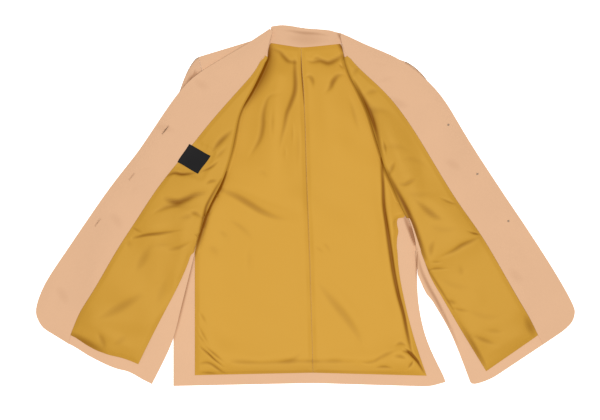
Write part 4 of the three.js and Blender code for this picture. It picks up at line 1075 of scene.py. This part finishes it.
def make_stitch_tree():
    tree = bpy.data.node_groups.new("stitches along a line", "GeometryNodeTree")
    tree.is_modifier = True
    tree.interface.new_socket(name="Line", in_out="INPUT", socket_type="NodeSocketGeometry")
    for label in ("Spacing", "Stitch length", "Thread", "Turn", "Uneven"):
        tree.interface.new_socket(name=label, in_out="INPUT", socket_type="NodeSocketFloat")
    tree.interface.new_socket(name="Material", in_out="INPUT", socket_type="NodeSocketMaterial")
    tree.interface.new_socket(name="Stitches", in_out="OUTPUT", socket_type="NodeSocketGeometry")
    given = tree.nodes.new("NodeGroupInput").outputs

    def step(kind, inputs=None, **settings):
        return node_in(tree, kind, inputs, **settings).outputs

    line = step("GeometryNodeMeshToCurve", {"Mesh": given["Line"]})["Curve"]
    walking = {"Curve": line, "Length": given["Spacing"]}
    steps = step("GeometryNodeResampleCurve", walking, mode="LENGTH")["Curve"]
    least = step("ShaderNodeMath", {0: given["Uneven"], 1: -1.0}, operation="MULTIPLY")[0]
    range_of_turn = {"Min": least, "Max": given["Uneven"], "Seed": STITCH_SEED}
    chance = step("FunctionNodeRandomValue", range_of_turn, data_type="FLOAT")
    chance = next(socket for socket in chance if socket.enabled)
    angle = step("ShaderNodeMath", {0: given["Turn"], 1: chance}, operation="ADD")[0]
    tangent = step("GeometryNodeInputTangent")[0]
    turning = {"Vector": tangent, "Axis": (0, 0, 1), "Angle": angle}
    across = step("ShaderNodeVectorRotate", turning, rotation_type="AXIS_ANGLE")[0]
    aligned = step("FunctionNodeAlignRotationToVector", {"Vector": across}, axis="X")[0]
    sizes_of_stitch = {0: given["Stitch length"], 1: given["Thread"], 2: given["Thread"]}
    size = step("ShaderNodeCombineXYZ", sizes_of_stitch)[0]
    thread = step("GeometryNodeMeshUVSphere", {"Segments": 8, "Rings": 6, "Radius": 0.5})["Mesh"]
    placing = {"Points": steps, "Instance": thread, "Rotation": aligned, "Scale": size}
    laid = step("GeometryNodeInstanceOnPoints", placing)["Instances"]
    real = step("GeometryNodeRealizeInstances", {"Geometry": laid})["Geometry"]
    done = step("GeometryNodeSetMaterial", {"Geometry": real, "Material": given["Material"]})["Geometry"]
    tree.links.new(done, tree.nodes.new("NodeGroupOutput").inputs[0])
    return tree


stitch_tree = make_stitch_tree()
print("inputs:", [socket.name for socket in stitch_tree.interface.items_tree if socket.in_out == "INPUT"])

# %% [markdown]
# A line of stitches is drawn flat and then laid on whatever cloth is highest there, which a ray from above
# finds. Each row becomes one plain mesh before it is declared as part of the jacket.

# %% Laying stitches on the cloth
ABOVE = 0.1
STEP_OF_LINE = 0.0015


def tops_of(names):
    return [BVHTree.FromObject(pieces[name], bpy.context.evaluated_depsgraph_get()) for name in names]


def height_at(spot, trees):
    hits = [tree.ray_cast(Vector((*spot, ABOVE)), Vector((0, 0, -1)))[0] for tree in trees]
    return max(hit.z for hit in hits if hit is not None)


def line_on(places, trees, over=0.0):
    """Points along straight stretches between places, in metres, laid on the highest of the trees."""
    laid = []
    for a, b in zip(places, places[1:]):
        a, b = Vector(a), Vector(b)
        count = max(2, round((b - a).length / STEP_OF_LINE))
        laid += [a.lerp(b, i / count) for i in range(count)]
    laid.append(Vector(places[-1]))
    return [(*spot, height_at(spot, trees) + over) for spot in laid]


def stitches(name, lines, spacing, length, thread, cloth, turn=0.0, uneven=0.06):
    """One piece with a row of stitches along each line."""
    points, edges = [], []
    for line in lines:
        edges += [(len(points) + i, len(points) + i + 1) for i in range(len(line) - 1)]
        points += line
    mesh = bpy.data.meshes.new(name)
    mesh.from_pydata(points, edges, [])

    def add(modifiers):
        rows = modifiers.new("stitches", "NODES")
        rows.node_group = stitch_tree
        values = {
            "Spacing": spacing, "Stitch length": length, "Thread": thread, "Turn": turn, "Uneven": uneven,
            "Material": cloth,
        }
        for socket in stitch_tree.interface.items_tree:
            if socket.in_out == "INPUT" and socket.name in values:
                rows[socket.identifier] = values[socket.name]

    sewn = settled(mesh, add)
    return finished(name, sewn, cloth)


print("a row can be laid on", len(pieces), "pieces")

# %% [markdown]
# ## Buttonholes, button threads and the label's edge
# Three buttonholes are worked in the right front, along its edge. The inside of each slit is shown by a
# painted shadow, a dark lens on the facing; the top one was left a little open, so its shadow is wider. On
# the left front only the small knots show where the buttons are sewn through the facing.

# %% Sew the details
Buttonhole = namedtuple("Buttonhole", "middle heading length gape")
BUTTONHOLES = [
    Buttonhole((-0.2795, 0.1515), (0.62, 0.785), 0.023, 0.0013),
    Buttonhole((-0.3470, 0.0580), (0.62, 0.785), 0.019, 0.0002),
    Buttonhole((-0.4150, -0.0330), (0.58, 0.815), 0.019, 0.0004),
]
SLIT_STEPS = 14
SLIT_PROUD = 0.0002
SLIT_DEPTH = 0.0006
STITCHED_BESIDE = 0.0011
STITCHES_PROUD = 0.0001
KNOTS = [(0.285, 0.162), (0.343, 0.064), (0.405, -0.030)]
KNOT_SIZE = 0.0030
KNOT_SPACING = 0.0011
KNOTS_PROUD = 0.0003
SEWN_AT = 0.93  # how far out from the label's middle its stitches run

SLIT_WEAVE = Weave(
    threads=1800.0, twill=0.75, relief=0.0001, roughness=0.9, cloud=0.02, slub=0.004,
    shine={"Specular IOR Level": 0.0},
)
TWIST_WEAVE = Weave(
    threads=4000.0, twill=0.5, relief=0.00004, roughness=0.6, cloud=0.02, slub=0.004,
    shine={"Specular IOR Level": 0.3},
)
slit_shadow = woven_cloth(
    "shadow in a buttonhole", (0.020, 0.010, 0.008), (0.035, 0.018, 0.012), WOOL_SHADE, SLIT_WEAVE
)
thread_cloth = woven_cloth("buttonhole twist", *tones(WOOL_TONE, 0.88, 0.96), WOOL_SHADE, TWIST_WEAVE)
knot_cloth = woven_cloth("button thread", (0.20, 0.155, 0.115), (0.26, 0.20, 0.15), WOOL_SHADE, TWIST_WEAVE)
facings = {side: tops_of([f"front_facing_{side}"]) for side in ("right", "left")}


def slit_of(number, hole):
    """A flat dark lens on the facing: the painted shadow inside the slit."""
    middle, along = Vector(hole.middle), Vector(hole.heading).normalized()
    side = Vector((-along.y, along.x))
    upper, lower = [], []
    for i in range(SLIT_STEPS + 1):
        t = 2 * i / SLIT_STEPS - 1
        spot = middle + along * t * hole.length / 2
        half = side * hole.gape / 2 * (1 - t * t)
        for edge, place in ((upper, spot + half), (lower, spot - half)):
            edge.append((*place, height_at(place, facings["right"]) + SLIT_PROUD))
    rims = upper + lower[-2:0:-1]
    mesh = bpy.data.meshes.new("slit")
    count = len(rims)
    deep = [(x, y, z - SLIT_DEPTH) for x, y, z in rims]
    walls = [(i, i + count, (i + 1) % count + count, (i + 1) % count) for i in range(count)]
    mesh.from_pydata(rims + deep, [], [tuple(range(count))[::-1], tuple(range(count, 2 * count)), *walls])
    finished(f"buttonhole_slit_{number}", mesh, slit_shadow)


def hole_sides(hole):
    """The two lines that a buttonhole's stitches follow."""
    middle, along = Vector(hole.middle), Vector(hole.heading).normalized()
    side = Vector((-along.y, along.x)) * (hole.gape / 2 + STITCHED_BESIDE)
    ends = (middle - along * hole.length / 2, middle + along * hole.length / 2)
    return [line_on([end + way * side for end in ends], facings["right"], STITCHES_PROUD) for way in (1, -1)]


for number, hole in enumerate(BUTTONHOLES, 1):
    slit_of(number, hole)
stitches(
    "buttonhole_stitches", [side for hole in BUTTONHOLES for side in hole_sides(hole)],
    spacing=0.00062, length=0.0019, thread=0.00045, cloth=thread_cloth, turn=np.pi / 2,
)
knots = []
for x, y in KNOTS:
    for shift in (-KNOT_SPACING, 0, KNOT_SPACING):
        ends = [(x - KNOT_SIZE / 2, y + shift), (x + KNOT_SIZE / 2, y + shift)]
        knots.append(line_on(ends, facings["left"], KNOTS_PROUD))
stitches(
    "button_threads", knots, spacing=0.0008, length=0.0026, thread=0.0006, cloth=knot_cloth,
    turn=np.pi / 3, uneven=0.5,
)

tab = points_of(pieces["bare_label"].data)[:, :2]
outermost = (tab[:, 1].argmax(), tab[:, 0].argmax(), tab[:, 1].argmin(), tab[:, 0].argmin())
tab_corners = [tab[i] for i in outermost]
tab_middle = np.mean(tab_corners, axis=0)
label_seam = [tuple(tab_middle + SEWN_AT * (corner - tab_middle)) for corner in tab_corners]
label_line = line_on([*label_seam, label_seam[0]], tops_of(["bare_label"]))
stitches(
    "label_stitches", [label_line], spacing=0.0024, length=0.0017, thread=0.0003, cloth=label_cloth,
    uneven=0.02,
)

# %% [markdown]
# ## Buttons
# The three buttons are sewn to the outer side of the left front, which lies face down, so they rest on the
# table under the cloth. Each is turned from a profile with a raised rim and a dished middle, and drilled
# with four holes by a Boolean. A thread shank joins it to the cloth above.

# %% Turn the buttons
RIM_STEPS = 40
BUTTON_PROFILE = [  # radius as a share of the button's, height as a share of its thickness
    (0.0, 0.30), (0.45, 0.28), (0.62, 0.18), (0.74, 0.05), (0.86, 0.0), (0.95, 0.08), (1.0, 0.35),
    (0.97, 0.70), (0.85, 0.95), (0.60, 1.0), (0.0, 1.0),
]
BUTTON_THICKNESS = 0.0026
HOLE_RADIUS = 0.0009
HOLE_OUT = 0.0021
DRILL_DEPTH = 0.02
SHANK_RADIUS = 0.0011


def turned(profile, radius, thickness, place):
    """A solid of revolution about an upright axis, its face down."""
    shape = bmesh.new()
    rings = []
    for share, height in profile:
        if share == 0:
            rings.append([shape.verts.new((*place[:2], place[2] + height * thickness))])
            continue
        angles = np.linspace(0, 2 * np.pi, RIM_STEPS, endpoint=False)
        rings.append([
            shape.verts.new((
                place[0] + share * radius * np.cos(a), place[1] + share * radius * np.sin(a),
                place[2] + height * thickness,
            ))
            for a in angles
        ])
    for inner, outer in zip(rings, rings[1:]):
        for i in range(RIM_STEPS):
            j = (i + 1) % RIM_STEPS
            around = [(inner, i), (outer, i), (outer, j), (inner, j)]
            shape.faces.new(dict.fromkeys(ring[k % len(ring)] for ring, k in around))
    bmesh.ops.recalc_face_normals(shape, faces=shape.faces)
    return mesh_of(shape, "turned")


def drilled(mesh, place):
    """The mesh with four holes around a place."""
    drill = bmesh.new()
    for angle in np.pi / 4 + np.arange(4) * np.pi / 2:
        made = bmesh.ops.create_cone(
            drill, cap_ends=True, segments=16, radius1=HOLE_RADIUS, radius2=HOLE_RADIUS, depth=DRILL_DEPTH
        )
        way = Vector((np.cos(angle), np.sin(angle), 0)) * HOLE_OUT
        bmesh.ops.translate(drill, verts=made["verts"], vec=Vector(place) + way)
    cutter = linked("drill", mesh_of(drill, "drill"))

    def add(modifiers):
        cut = modifiers.new("holes", "BOOLEAN")
        cut.operation = "DIFFERENCE"
        cut.object = cutter
        cut.solver = "EXACT"

    made = settled(mesh, add)
    bpy.data.objects.remove(cutter)
    return made


def joined(meshes):
    """Several meshes as one."""
    whole = bmesh.new()
    for mesh in meshes:
        whole.from_mesh(mesh)
        bpy.data.meshes.remove(mesh)
    return mesh_of(whole, "joined")


button_tone = bpy.data.materials.new("horn button")
button_tone.use_nodes = True
horn = button_tone.node_tree
horn_shader = horn.nodes["Principled BSDF"]
spots = put(horn, "TexCoord").outputs["Object"]
swirl = put(horn, "TexNoise", {"Vector": spots, "Scale": 180.0, "Distortion": 2.0, "Detail": 3.0}).outputs[0]
horn_colour = put(
    horn, "Mix", {0: swirl, 6: (0.50, 0.30, 0.19, 1), 7: (0.68, 0.46, 0.31, 1)}, data_type="RGBA"
).outputs[2]
horn.links.new(horn_colour, horn_shader.inputs["Base Color"])
horn.links.new(
    put(horn, "MapRange", {0: swirl, 3: 0.28, 4: 0.42}).outputs[0], horn_shader.inputs["Roughness"]
)
horn_shader.inputs["Coat Weight"].default_value = 0.2

for number in (1, 2, 3):
    node = f"button_{number}"
    spread = points_of(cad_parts[node].data)
    low_corner, high_corner = spread.min(0), spread.max(0)
    place = (*(low_corner + high_corner)[:2] / 2, low_corner[2])
    radius = (high_corner[0] - low_corner[0]) / 2
    disc = drilled(turned(BUTTON_PROFILE, radius, BUTTON_THICKNESS, place), place)
    rise = high_corner[2] - place[2] - BUTTON_THICKNESS
    shank = turned([(0, 0), (1, 0), (0.8, 0.5), (1, 1), (0, 1)], SHANK_RADIUS, rise,
                   (*place[:2], place[2] + BUTTON_THICKNESS))
    button = finished(f"turned_{node}", joined([disc, shank]), button_tone)
    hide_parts(node)

# %% [markdown]
# ## Saying how each cloth was cut
# A Cut gives a cloth piece the rectangle that holds its cut, its flat area and what it lies on. These sizes
# were read off the panels of the model themselves, so they say nothing about how a real jacket is cut.

Cut = namedtuple("Cut", "piece width length area held rests_on")
